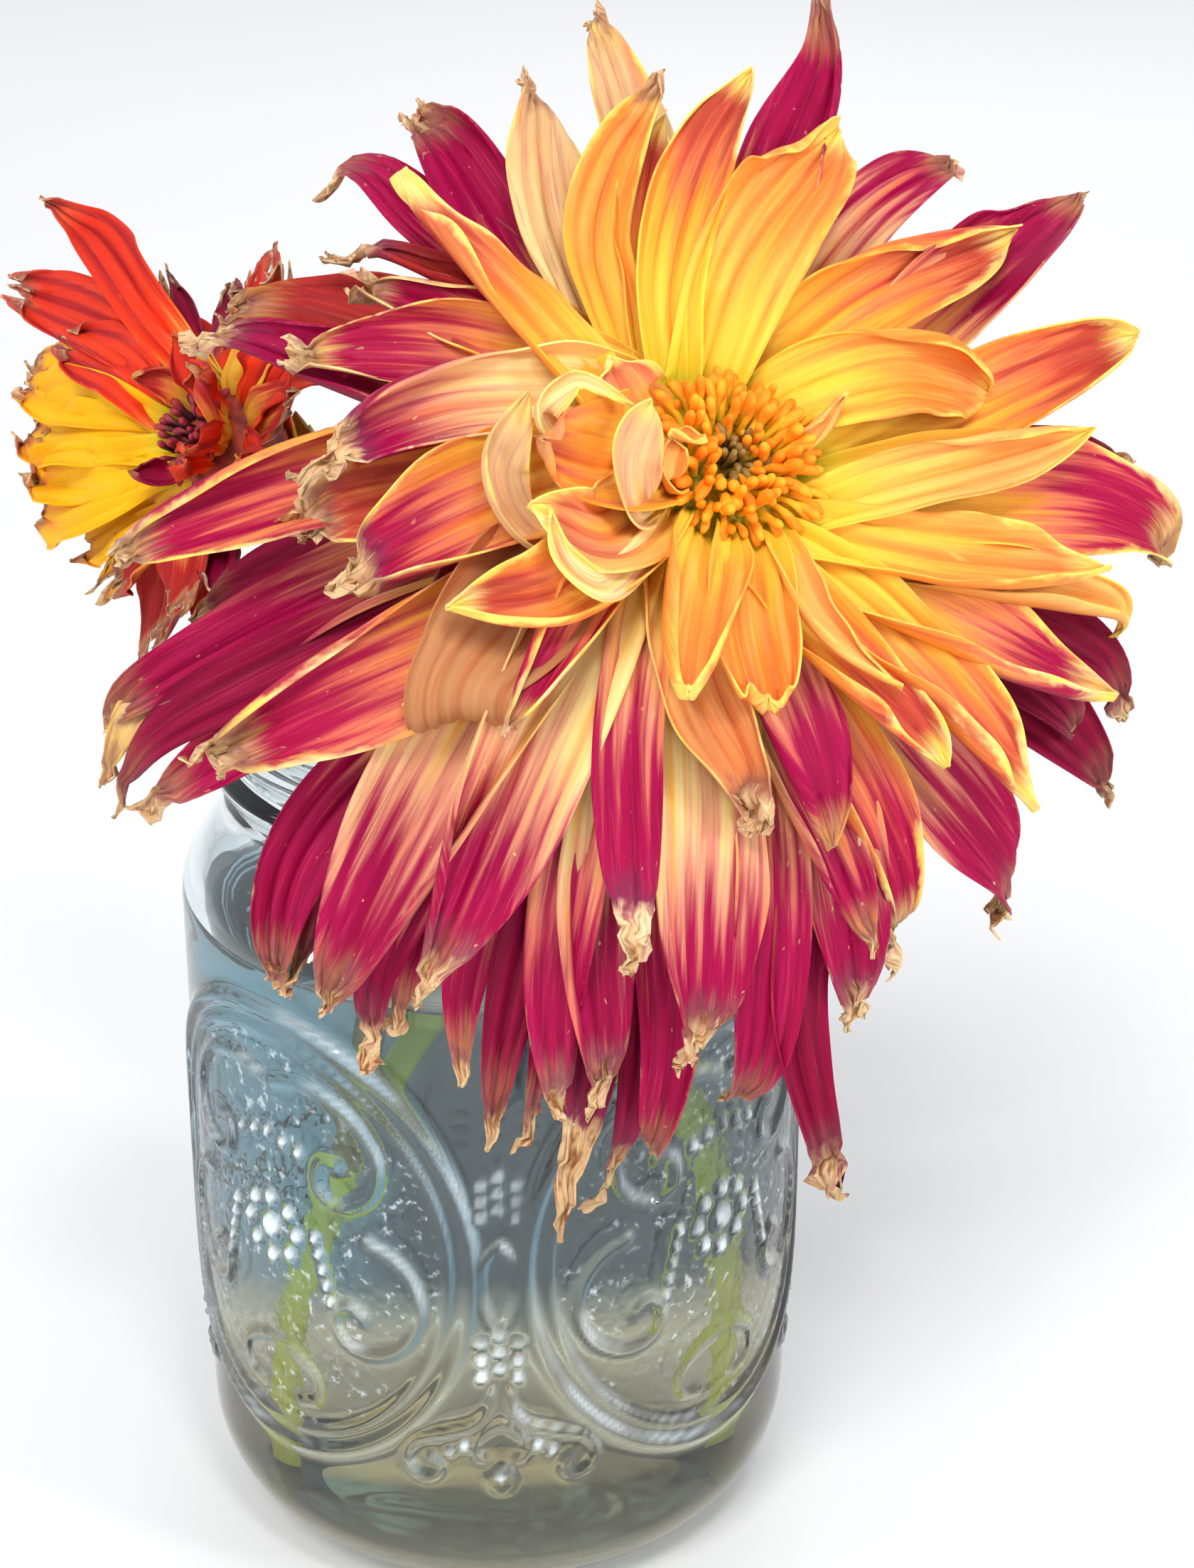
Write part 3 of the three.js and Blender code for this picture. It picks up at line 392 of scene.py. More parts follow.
HANGING = laid_out(
    seen,
    (-95, 2, 11, [(-4, -27, -5), (3, -41, -9)], (0.3, 0.6), STRAW, CRUMPLED, 0.12),
    (-108, 2, 6.5, [(-12, -31, -5), (-11.5, -46, 57), (-10.5, -59, 60)], FLAT, MAGENTA, CRUMPLED, 0.2),
    (-95, 3, 12, [(-3, -38, -12), (-3.5, -54, 52), (-4.5, -69, 54)], FLAT, LACED, CRUMPLED, 0.1),
    (-85, 4, 8, [(4, -42, -17), (4, -62, 50), (1.5, -77.5, 52)], FLAT, MAGENTA, UNDER),
    (-80, 5, 7, [(8, -45, -21), (7.5, -66, 48), (12, -84, 49)], FLAT, MAROON, CRUMPLED, 0.1),
    (-74, 4, 9, [(12, -44, -19), (15, -65.5, 47)], FLAT, LACED, CRUMPLED, 0.12),
    (-112, 3, 8, [(-14, -36, -12), (-15.5, -55, 51), (-14, -75.5, 53)], FLAT, LACED, CRUMPLED, 0.1),
    (-110, 4, 6, [(-13, -42, -18), (-16, -70, 49), (-20, -88, 53)], FLAT, MAROON, OVER, 0.22),
    (-100, 4, 6.5, [(-8, -45, -19), (-7, -66, 48), (-10, -84.5, 50)], FLAT, MAGENTA, UNDER),
    (-122, 4, 6.5, [(-20, -42, -20), (-25, -62, 48), (-28.5, -77, 50)], FLAT, MAROON, OVER),
    (-117, 3, 7, [(-17, -40, -15), (-20, -60, 51), (-20, -77, 53)], FLAT, MAGENTA, CRUMPLED, 0.08),
    (-128, 4, 6, [(-24, -40, -20), (-30, -58, 46), (-30.5, -71.5, 47)], FLAT, LACED),
    (-125, 2, 13, [(-22, -29, -8), (-30, -48, 52), (-35.5, -61, 54)], (0.8, 0), LACED, OVER, 0.1),
    (-134, 5, 6, [(-30, -38, -22), (-40, -57, 45), (-42, -70.5, 46)], FLAT, MAGENTA, CRUMPLED, 0.12),
    (-133, 3, 13.5, [(-28, -28, -12), (-39, -48, 49), (-47, -64.5, 51)], (0, 0.8), LACED, UNDER, 0.06),
    (-142, 4, 8, [(-32, -27, -17), (-49, -45, 43), (-53.5, -62.5, 45)], FLAT, MAGENTA, CRUMPLED),
    (-139, 5, 9, [(-32, -31, -22), (-46, -46, 39), (-50, -60, 41)], FLAT, MAROON),
    (-118, 4, 4.5, [(-18, -44, -21), (-21, -64, 47), (-23, -79, 48)], FLAT, MAGENTA, CRUMPLED),
    (-104, 5, 4.5, [(-10, -48, -23), (-11, -68, 46), (-14, -86.5, 48)], FLAT, MAROON, CRUMPLED, 0.14),
    (-131, 4, 5, [(-27, -40, -21), (-36, -55, 45), (-38.5, -65.8, 46)], FLAT, LACED, CRUMPLED),
    (-77, 5, 5, [(10, -44, -22), (8, -60, 46), (10, -69.5, 47)], FLAT, MAGENTA),
)

BY_THE_DISC = laid_out(
    seen,
    (-75, 0, 10, [(2, -19, 1), (4, -28, -2), (4, -30.5, 0)], (0.5, 0.5), APRICOT, OVER),
    (-105, 0, 10.5, [(-4.5, -18, 4), (-5.5, -29.5, 5)], (1.1, 0.7), APRICOT, OVER),
    (-130, 1, 8, [(-19.5, -20, 0), (-26, -31.5, -3)], (0.9, 0.5), BERRY, POINT),
    (-140, 2, 13, [(-25, -18, -3), (-31, -26, -4), (-31, -33, -6)], FLAT, DUSK, BLUNT, 0.0),
    (-147, 0, 10, [(-20, -15.5, 3), (-32.5, -17, 1)], (0, 0.8), FLAME),
    (-170, 0, 6, [(-22, -9.5, 1), (-27.2, -1.5, 5), (-23, 7.8, 8)], (0, 0.5), LILAC, POINT, 0.0, 0, True),
    (165, 0, 3.4, [(-18, 1, 4), (-22, 5.5, 8), (-18, 9, 10), (-11.2, 6.7, 10)], (0.2, 0.5), CREAM, POINT),
    (180, 0, 12, [(-15, -0.5, 6), (-23.6, 2.0, 8)], (0, 0.2), CUP, OVER),
    (-150, 0, 9.5, [(-15, -8.5, 6), (-23, -5.2, 9.5)], (0.2, 0), PEARL, POINT),
    (-132, 0, 3.6, [(-11, -11.5, 5), (-15, -14.2, 8), (-19.5, -11.5, 10), (-21.6, -6, 11)], (0.5, 0), CREAM, POINT),
    (-146, 0, 5.4, [(-10.9, -6.4, 5), (-11.6, -0.5, 10.5), (-9, 7, 12)], (0, 0.3), LILAC, POINT, 0.0, 0, True),
    (150, 0, 7.5, [(-11, 6.5, 2), (-15, 11.6, 3)], FLAT, PEARL, OVER),
    (-152, -1, 3.6, [(-7.5, -3, 3.5), (-6, 2.6, 6.5), (-3, 1.2, 8)], (0.6, 0.6), GOLD, OVER),
    (172, -1, 3.8, [(-10.5, 1.5, 4), (-9.5, -2, 7.5)], (0.5, 0.5), GOLD, OVER, 0.0),
    (14, -1, 3.2, [(10, 3.4, 1.6), (13.3, 8, 3.4)], (1.6, 1.6), GOLD),
)

REAR_FAN = laid_out(
    back,
    (118, 1, 6.5, [(-66, 17, 3), (-72.5, 26, 4), (-76.5, 28, 3)], FLAT, SCARLET, OVER, None, 0),
    (134, 1, 8, [(-70, 15, 2), (-82.5, 20, -1)], FLAT, SCARLET, POINT, None, 3),
    (150, 0, 8, [(-69, 10.5, 3), (-77, 13.5, 1)], FLAT, SCARLET, POINT, None, 2),
    (160, 1, 11, [(-71, 8, -1), (-81.5, 9.5, -4)], FLAT, OCHRE, CRUMPLED, None, 3),
    (174, 0, 12, [(-71, 4, 1), (-81, 4.5, -4)], FLAT, OCHRE, CRUMPLED, None, 4),
    (-172, 1, 12, [(-71, 0.5, -1), (-80.5, 0, -4)], FLAT, OCHRE, CRUMPLED, None, 3),
    (-158, 0, 12, [(-70, -3, 1), (-80, -5, -4)], FLAT, OCHRE, CRUMPLED, None, 4),
    (-145, 1, 11, [(-68, -5, -2), (-75, -9.5, -7)], FLAT, OCHRE, CRUMPLED, None, 3),
    (-130, 1, 8, [(-65, -8, -2), (-70, -15, -8)], FLAT, EMBER, POINT, None, 3),
    (-115, 2, 7.5, [(-61, -10, -6), (-65.5, -21, -13)], FLAT, EMBER, POINT, None, 2),
    (104, 1, 5, [(-62, 14, -1), (-65, 21.5, -4)], FLAT, MAROON, POINT, None, 2),
    (90, 2, 5, [(-57, 14, -4), (-57, 21, -9)], FLAT, MAROON, POINT, None, 2),
)
REAR_FAN += [
    Petal(
        clock, -1, wide, [REAR.at(clock, 7, 3), REAR.at(clock + turn, reach, high)],
        (0.7, 0.5), look, OVER, 0.0,
    )
    for clock, wide, turn, reach, high, look in (
        (-70, 5, 20, 11, 8, SCARLET),
        (-35, 6, -15, 12, 9, SCARLET),
        (0, 5.5, 25, 10, 10, EMBER),
        (32, 6, -20, 11, 9, SCARLET),
        (68, 5, 10, 12, 7, SCARLET),
        (105, 4.5, 20, 9, 8, EMBER),
        (-110, 4.5, -20, 9, 7, MAROON),
    )
]


@dataclass(frozen=True)
class RoundPetal:
    """A petal that a rule places round its head."""

    clock: float
    row: int
    length: float
    height: float
    look: Look = Look.SCARLET
    wide: float = 7.5
    teeth: int = 2

    def placed(self, head: Head) -> Petal:
        """The petal with its midrib set out on a head."""
        middle = 0.4 * self.height + 0.5 * ROWS[self.row].height * head.size
        points = [
            head.at(self.clock, 0.55 * self.length, middle),
            head.at(self.clock + 4, self.length, self.height),
        ]
        return Petal(self.clock, self.row, self.wide, points, FLAT, self.look, teeth=self.teeth)


REAR_ROUND = [
    RoundPetal(-98, 1, 26, 0, EMBER),
    RoundPetal(-80, 2, 25, 0, MAROON),
    RoundPetal(-62, 1, 22, 3, EMBER, 9),
    RoundPetal(-40, 1, 21, 5, wide=9),
    RoundPetal(-12, 1, 22, 5, EMBER, 9),
    RoundPetal(16, 1, 24, 5, wide=9),
    RoundPetal(42, 1, 26, 2, EMBER, 9),
    RoundPetal(68, 2, 28, -4),
    RoundPetal(170, 3, 34, -14, EMBER),
    RoundPetal(-165, 3, 34, -14, OCHRE),
    RoundPetal(-140, 3, 33, -15, EMBER),
    RoundPetal(145, 3, 35, -14),
    RoundPetal(120, 3, 35, -14),
    RoundPetal(95, 3, 32, -16, EMBER),
    RoundPetal(55, 4, 27, -20),
    RoundPetal(-112, 4, 28, -12, EMBER),
]

HIDDEN = [
    RoundPetal(clock, 5, length, -23, look, 10, 0)
    for clock, length, look in (
        (20, 38, BERRY),
        (47, 40, MAGENTA),
        (68, 43, BERRY),
        (92, 44, LACED),
        (116, 42, MAGENTA),
        (134, 38, BERRY),
        (-15, 36, MAGENTA),
        (-45, 34, MAROON),
    )
]


def read(where: Array, walked: Array, line: Array) -> Array:
    """The points or directions of a line at places along it."""
    return np.stack([np.interp(where, walked, line[:, k]) for k in range(3)], -1)


class Rib:
    """A smooth curve through points, walked by its share of length."""

    SAMPLES = 400

    def __init__(self, points: Sequence[Array]) -> None:
        """Samples a centripetal curve.

        Args:
            points: The points that the curve passes, ends included.
        """
        ends = [2 * points[0] - points[1], 2 * points[-1] - points[-2]]
        knots = [ends[0], *points, ends[1]]
        pieces = len(points) - 1
        where = np.linspace(0, pieces, self.SAMPLES + 1)
        self.points = np.array([self._place(knots, min(int(w), pieces - 1), w) for w in where])
        steps = np.linalg.norm(np.diff(self.points, axis=0), axis=1)
        self.walked = np.concatenate([[0], np.cumsum(steps)])
        self.length = float(self.walked[-1])
        self.slopes = unit(np.gradient(self.points, axis=0))

    @staticmethod
    def _place(knots: Sequence[Array], piece: int, where: float) -> Array:
        """The point at a place along the knots."""
        a, b, c, d = knots[piece : piece + 4]
        first, middle, last = (
            max(math.sqrt(float(np.linalg.norm(q - p))), 1e-4) for p, q in ((a, b), (b, c), (c, d))
        )
        start = ((b - a) / first - (c - a) / (first + middle) + (c - b) / middle) * middle
        end = ((c - b) / middle - (d - b) / (middle + last) + (d - c) / last) * middle
        t = where - piece
        square, cube = -3 * b + 3 * c - 2 * start - end, 2 * b - 2 * c + start + end
        return b + start * t + square * t**2 + cube * t**3

    def at(self, share: Array) -> Array:
        """The points at shares of the length."""
        return read(np.clip(share, 0, 1) * self.length, self.walked, self.points)

    def slope(self, share: Array) -> Array:
        """The directions at shares of the length."""
        return unit(read(np.clip(share, 0, 1) * self.length, self.walked, self.slopes))


def width_at(share: Array, least: float, slim: bool) -> Array:
    """A petal's width along its length, as a share of its greatest width.

    Args:
        share: Share of the length.
        least: The width left at the tip.
        slim: Whether the lower half is a narrow stalk.

    Returns:
        The width.
    """
    widest = SLIM_WIDEST if slim else WIDEST
    claw = CLAW + (1 - CLAW) * np.sin(0.5 * math.pi * np.minimum(share, widest) / widest)
    if slim:
        claw = 0.25 + 0.75 * rise(share, 0.28, widest)
    past = np.clip((share - widest) / (1 - widest), 0, 1)
    point = np.maximum(least, (1 - past**2.0) ** 0.85)
    return np.where(share < widest, claw, point)


class Spine:
    """The midrib of a blade with its directions across and out of the face."""

    CURLS = {UNDER: -1.1, OVER: 1.2, CRUMPLED: -0.7, BLUNT: -2.6, POINT: 0.1}
    CURL_FROM = 0.8
    CURL_CHANCE = 0.45
    CURL_STRETCH = 0.22
    TWIST_CHANCE = 0.35
    ROOT_TURN = 0.85
    ROOT_TURN_MOST = 45.0

    def __init__(self, petal: Petal, head: Head, dice: random.Random) -> None:
        """Lays the spine from the root in the core to the curled tip.

        Args:
            petal: The petal.
            head: The head that it grows from.
            dice: Where chance comes from.
        """
        rib = Rib(self._knots(petal, head))
        self.share = np.linspace(0, 1, Rib.SAMPLES + 1)
        middle, slope = rib.at(self.share), rib.slope(self.share)
        spread = rib.points[-1] - rib.points[0]
        spread = unit(spread - head.axis * (spread @ head.axis))
        way = spread + head.spoke(petal.clock) * SPOKE_SHARE
        if petal.row < 1:
            way = way + INNER_TURN * (slope - np.outer(slope @ head.axis, head.axis))
        side = np.cross(head.axis, way + 0 * slope)
        lateral = unit(side - slope * np.sum(slope * side, axis=1)[:, None])
        face = np.cross(slope, lateral)
        twist = (dice.uniform(-self.TWIST_CHANCE, self.TWIST_CHANCE) * (1.2 * self.share - 0.2))[:, None]
        lateral, face = (
            lateral * np.cos(twist) + face * np.sin(twist),
            face * np.cos(twist) - lateral * np.sin(twist),
        )
        curl = self.CURLS[petal.tip] + dice.uniform(-self.CURL_CHANCE, self.CURL_CHANCE)
        angle = (curl * rise(self.share, self.CURL_FROM, 1.06))[:, None]
        turned = slope * np.cos(angle) + face * np.sin(angle)
        stretch = 1 + self.CURL_STRETCH * abs(angle)
        start = int(self.CURL_FROM * Rib.SAMPLES)
        steps = turned * stretch * rib.length / Rib.SAMPLES
        middle[start:] = middle[start] + np.cumsum(steps[start:], axis=0) - steps[start]
        self.middle, self.lateral = middle, lateral
        self.face = face * np.cos(angle) - slope * np.sin(angle)

    def _knots(self, petal: Petal, head: Head) -> list[Array]:
        """The points that the midrib passes, root and collar included."""
        row, size = ROWS[petal.row], head.size
        radius, height = row.radius * size - ROOT_SUNK, row.height * size - ROOT_SUNK
        first, second = (
            np.array([out @ head.across, out @ head.along]) for out in (p - head.centre for p in petal.points[:2])
        )
        clock = petal.clock
        if petal.row > 0:
            way = unit(first - second)
            nearest = first - way * (first @ way)
            room = math.sqrt(max(radius**2 - float(nearest @ nearest), 0.0))
            foot = nearest - way * room
            turn = (math.degrees(math.atan2(foot[1], foot[0])) - clock + 180) % 360 - 180
            clock += self.ROOT_TURN * max(-self.ROOT_TURN_MOST, min(self.ROOT_TURN_MOST, turn))
        knots = [head.at(clock, radius, height), *petal.points]
        collar = COLLAR.get(petal.row)
        if collar:
            angle = math.radians(clock)
            root = np.array([math.cos(angle), math.sin(angle)]) * radius
            reach = (collar.radius * size - radius) / max(float(np.linalg.norm(first)) - radius, 1.0)
            x, y = root + (first - root) * min(reach, 0.6)
            knots.insert(1, head.centre + head.across * x + head.along * y + head.axis * collar.height * size)
        return knots

    def at(self, share: Array) -> tuple[Array, Array, Array]:
        """The midrib's point, the direction across and the face at shares of the length."""
        return tuple(read(share, self.share, line) for line in (self.middle, self.lateral, self.face))


@dataclass
class Blade:
    """The shape of one petal's blade, worked out on a grid of points."""

    COLUMNS = 16
    LENGTHS = 42
    TIP_CROWDING = 1.25
    MARGIN_CROWDING = 0.25
    TIP_WIDTHS = {BLUNT: 0.75, CRUMPLED: 0.34}
    TIP_WIDTH = 0.05
    DRY_SHRINK = 0.25
    SECTION_STEPS = 61
    ROLL = 3.4
    SLOW_CRUMPLE = (0.45, 1.7)
    QUICK_CRUMPLE = (1.1, 0.8)

    petal: Petal
    head: Head
    seed: int

    def surface(self) -> tuple[Array, Array, Array, Array]:
        """The blade's points.

        Returns:
            The points, their share across from -1 to 1, their share of the length, and
            how high each lies on the lengthwise folds, from -1 to 1.
        """
        petal, dice = self.petal, random.Random(self.seed)
        spine = Spine(petal, self.head, dice)
        along = 1 - (1 - np.linspace(0, 1, self.LENGTHS + 1)[:, None]) ** self.TIP_CROWDING
        even = np.linspace(1, -1, self.COLUMNS + 1)[None, :]
        across = even * (1 + self.MARGIN_CROWDING - self.MARGIN_CROWDING * even**2)
        notch = np.zeros_like(across)
        if petal.teeth:
            depth = TOOTH_DEPTH * 2 / petal.teeth
            notch = depth * np.cos(0.5 * math.pi * petal.teeth * (across + 1)) ** 2
        reach = along * (1 - notch * along)
        middle, lateral, face = spine.at(reach)
        least = self.TIP_WIDTHS.get(petal.tip, self.TIP_WIDTH)
        share = 0.9 * along if petal.teeth else along
        half = 0.5 * petal.wide * FULLNESS * width_at(share, least, petal.slim)
        dryness = self._dryness(along)
        half = half * (1 - self.DRY_SHRINK * dryness)
        side, lift = self._section(along, across)
        fold, folds = self._folds(along, across, dice)
        lift = half * lift + folds + self._waves(along, across, dice)
        points = middle + lateral * (half * side)[..., None] + face * lift[..., None]
        points += self._crumple(points, dryness + 0 * across, dice)
        return points, across + 0 * along, along + 0 * across, fold

    def _section(self, along: Array, across: Array) -> tuple[Array, Array]:
        """The cross-section: how far each point lies aside and up, for a half width of 1."""
        fine = np.linspace(0, 1, self.SECTION_STEPS)
        aside = np.zeros(along.shape[:1] + across.shape[1:])
        up = np.zeros_like(aside)
        channel = 0.22 + (0.32 + 0.5 * (1 - rise(along, 0.0, 0.4))) * fine[None, :]
        for sign, roll in ((-1, self.petal.roll[0]), (1, self.petal.roll[1])):
            strength = roll * self.ROLL * (0.35 * rise(along, 0.1, 0.45) + 0.65 * rise(along, 0.35, 0.9))
            angle = channel + strength * fine[None, :] ** 2.4
            x = np.cumsum(np.cos(angle), axis=1) / fine.size
            y = np.cumsum(np.sin(angle), axis=1) / fine.size
            for j in np.nonzero(np.sign(across[0]) == sign)[0]:
                k = int(round(abs(across[0, j]) * (fine.size - 1)))
                aside[:, j] = sign * x[:, k]
                up[:, j] = y[:, k]
        return aside, up

    def _folds(self, along: Array, across: Array, dice: random.Random) -> tuple[Array, Array]:
        """The lengthwise folds: their phase from -1 to 1 and their height (mm)."""
        wide = self.petal.wide * FULLNESS
        count = max(2, round(wide / 3.0)) * 0.5
        shift = dice.uniform(0, 2 * math.pi)
        drift = 0.25 * np.sin(2.2 * along + dice.uniform(0, 6))
        phase = np.cos(2 * math.pi * count * (across + 0.08 * drift) + shift)
        second = np.cos(4.6 * math.pi * count * across - shift + 1.5 * along)
        fold = 0.75 * phase + 0.25 * second
        depth = (0.72 - 0.4 * along) * rise(along, 0.02, 0.16) * np.clip(wide / 11, 0.35, 1.15)
        return fold, depth * fold * (1 - 0.35 * abs(across))

    def _waves(self, along: Array, across: Array, dice: random.Random) -> Array:
        """The waved margins and the sway of the whole blade (mm)."""
        size = np.clip(self.petal.wide / 9, 0.45, 1.4)
        wave = np.zeros(along.shape[:1] + across.shape[1:])
        for sign in (-1, 1):
            slow, quick = dice.uniform(1.0, 2.2), dice.uniform(3.2, 5.0)
            first, second = dice.uniform(0, 6.3), dice.uniform(0, 6.3)
            high = dice.uniform(0.6, 1.6) * size
            swing = high * np.sin(2 * math.pi * slow * along + first)
            swing = swing + 0.28 * high * np.sin(2 * math.pi * quick * along + second)
            wave += swing * rise(along, 0.15, 0.5) * np.where(across * sign > 0, abs(across) ** 3, 0)
        sway = dice.uniform(0.2, 0.6) * np.sin(2 * math.pi * dice.uniform(0.8, 1.4) * along)
        return wave + sway * rise(along, 0.1, 0.4)

    def _dryness(self, along: Array) -> Array:
        """How dry the blade is along its length."""
        share = self.petal.dried
        if share <= 0:
            return 0 * along
        return rise(along, 1 - share - 0.05, 1 - 0.35 * share)

    def _crumple(self, points: Array, dryness: Array, dice: random.Random) -> Array:
        """The shrivelled waves of a dried end."""
        shift = np.zeros_like(points)
        strength = 1.25 if self.petal.tip is CRUMPLED else 0.6
        (slow, broad), (quick, small) = self.SLOW_CRUMPLE, self.QUICK_CRUMPLE
        offset = Vector((dice.uniform(-9, 9), dice.uniform(-9, 9), dice.uniform(-9, 9)))
        for i, j in zip(*np.nonzero(dryness > 0.02)):
            place = Vector(points[i, j])
            wave = noise.noise_vector(place * slow + offset)
            fine = noise.noise_vector(place * quick - offset)
            shift[i, j] = (np.array(wave) * broad + np.array(fine) * small) * strength * dryness[i, j]
        return shift


# ---- bench


class Bench:
    """The maker's moves: starting, joining and finishing pieces."""

    @staticmethod
    def clear() -> None:
        """Deselects everything."""
        bpy.ops.object.select_all(action="DESELECT")

    @staticmethod
    def take(*pieces: Piece) -> Piece:
        """Selects only these pieces and makes the first one active."""
        Bench.clear()
        for piece in pieces:
            piece.select_set(True)
        bpy.context.view_layer.objects.active = pieces[0]
        return pieces[0]

    @staticmethod
    def grid(name: str, columns: int, lengths: int) -> Piece:
        """A flat sheet, split into columns and lengths, ready to be shaped."""
        Bench.clear()
        bpy.ops.mesh.primitive_grid_add(x_subdivisions=columns, y_subdivisions=lengths, size=1)
        piece = bpy.context.active_object
        piece.name = piece.data.name = name
        return piece

    @staticmethod
    def cells(piece: Piece, columns: int, lengths: int) -> tuple[Array, Array]:
        """The length and the column that each vertex of a flat sheet lies on."""
        flat = Bench.corners(piece)
        i = np.rint((flat[:, 1] + 0.5) * lengths).astype(int)
        j = np.rint((flat[:, 0] + 0.5) * columns).astype(int)
        return i, j

    @staticmethod
    def shape(piece: Piece, points: Array) -> None:
        """Lays a sheet's vertices on a grid of points, given length by length."""
        cells = Bench.cells(piece, points.shape[1] - 1, points.shape[0] - 1)
        Bench.set_corners(piece, points[cells])
        piece.data.update()

    @staticmethod
    def sheet(name: str, points: Array) -> Piece:
        """A sheet laid on a grid of points."""
        piece = Bench.grid(name, points.shape[1] - 1, points.shape[0] - 1)
        Bench.shape(piece, points)
        return piece

    @staticmethod
    def skin(name: str, points: Array) -> Piece:
        """A closed body laid on a grid of points whose edges meet."""
        piece = Bench.sheet(name, points)
        Bench.weld(piece, SEAM)
        return piece

    @staticmethod
    def rolled(name: str, profile: Array, turns: Array, relief: Array) -> Piece:
        """A closed body of revolution about the upright axis, rolled from a sheet.

        Args:
            name: The piece's name.
            profile: Radius and height of each ring, outside first.
            turns: The angle of each column, with the first angle again at the end.
            relief: What is added to the radius, for each ring and column.

        Returns:
            The piece.
        """
        out = profile[:, :1] + relief
        return Bench.skin(
            name, np.stack([out * np.sin(turns), -out * np.cos(turns), profile[:, 1:] + 0 * out], -1)
        )

    @staticmethod
    def weld(piece: Piece, distance: float) -> None:
        """Merges vertices that lie together and turns all faces outwards."""
        Bench.take(piece)
        bpy.ops.object.mode_set(mode="EDIT")
        bpy.ops.mesh.select_all(action="SELECT")
        bpy.ops.mesh.remove_doubles(threshold=distance)
        bpy.ops.mesh.normals_make_consistent(inside=False)
        bpy.ops.object.mode_set(mode="OBJECT")

    @staticmethod
    def joined(name: str, pieces: Sequence[Piece]) -> Piece:
        """Several pieces as one."""
        whole = Bench.take(*pieces)
        if len(pieces) > 1:
            bpy.ops.object.join()
        whole.name = whole.data.name = name
        return whole

    @staticmethod
    def modify(piece: Piece, kind: str, **settings: object) -> None:
        """Adds a modifier with settings and applies it."""
        Bench.take(piece)
        bpy.ops.object.modifier_add(type=kind)
        modifier = piece.modifiers[-1]
        for key, value in settings.items():
            setattr(modifier, key, value)
        bpy.ops.object.modifier_apply(modifier=modifier.name)

    @staticmethod
    def smooth(piece: Piece, degrees: float = 50.0) -> None:
        """Shades a piece smoothly, apart from edges sharper than an angle."""
        Bench.take(piece)
        bpy.ops.object.shade_smooth_by_angle(angle=math.radians(degrees))

    @staticmethod
    def ball(name: str, segments: int, rings: int) -> Piece:
        """A small ball of radius 1 metre, ready to be shaped."""
        Bench.clear()
        bpy.ops.mesh.primitive_uv_sphere_add(segments=segments, ring_count=rings, radius=1)
        piece = bpy.context.active_object
        piece.name = piece.data.name = name
        return piece

    @staticmethod
    def corners(piece: Piece) -> Array:
        """A piece's vertices."""
        flat = np.zeros(len(piece.data.vertices) * 3)
        piece.data.vertices.foreach_get("co", flat)
        return flat.reshape(-1, 3)

    @staticmethod
    def set_corners(piece: Piece, points: Array) -> None:
        """Lays a piece's vertices on points (mm)."""
        piece.data.vertices.foreach_set("co", (points * MM).ravel())

    @staticmethod
    def copy(model: Piece) -> Piece:
        """A copy of a piece with its own mesh."""
        made = model.copy()
        made.data = model.data.copy()
        bpy.context.collection.objects.link(made)
        return made

    @staticmethod
    def copies(name: str, model: Piece, places: Sequence[Array]) -> Piece:
        """One piece of many copies of a model, each laid on its own vertices (mm)."""
        made = []
        for place in places:
            made.append(Bench.copy(model))
            Bench.set_corners(made[-1], place)
        bpy.data.objects.remove(model)
        return Bench.joined(name, made)

    @staticmethod
    def rod(name: str, points: Array, radii: Array, sides: int) -> Piece:
        """A round tapering rod with closed ends along points."""
        slope = unit(np.gradient(points, axis=0))
        first = unit(np.cross(slope, vec(0.31, 0.87, 0.38)))
        second = np.cross(slope, first)
        turns = np.linspace(0, 2 * math.pi, sides + 1)
        ring = first[:, None] * np.cos(turns)[None, :, None] + second[:, None] * np.sin(turns)[None, :, None]
        body = points[:, None] + ring * np.broadcast_to(radii, len(points))[:, None, None]
        foot, end = (np.repeat(points[k, None, None], sides + 1, 1) for k in (0, -1))
        return Bench.skin(name, np.concatenate([foot, body, end]))

    @staticmethod
    def attribute(piece: Piece, name: str, values: Array) -> None:
        """Writes one value, three or four values for each vertex under a name."""
        kind, word = {
            1: ("FLOAT", "value"), 3: ("FLOAT_VECTOR", "vector"), 4: ("FLOAT_COLOR", "color")
        }[values.shape[1]]
        stored = piece.data.attributes.new(name, kind, "POINT")
        stored.data.foreach_set(word, values.ravel())

    @staticmethod
    def dress(piece: Piece, body_slot: str, *materials: Material) -> Piece:
        """Gives a piece its materials and its place on the frame."""
        piece.data.materials.clear()
        for material in materials:
            piece.data.materials.append(material)
        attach(piece, "root")
        LOG.info("%s: %d faces", piece.name, len(piece.data.polygons))
        return piece


# ---- materials


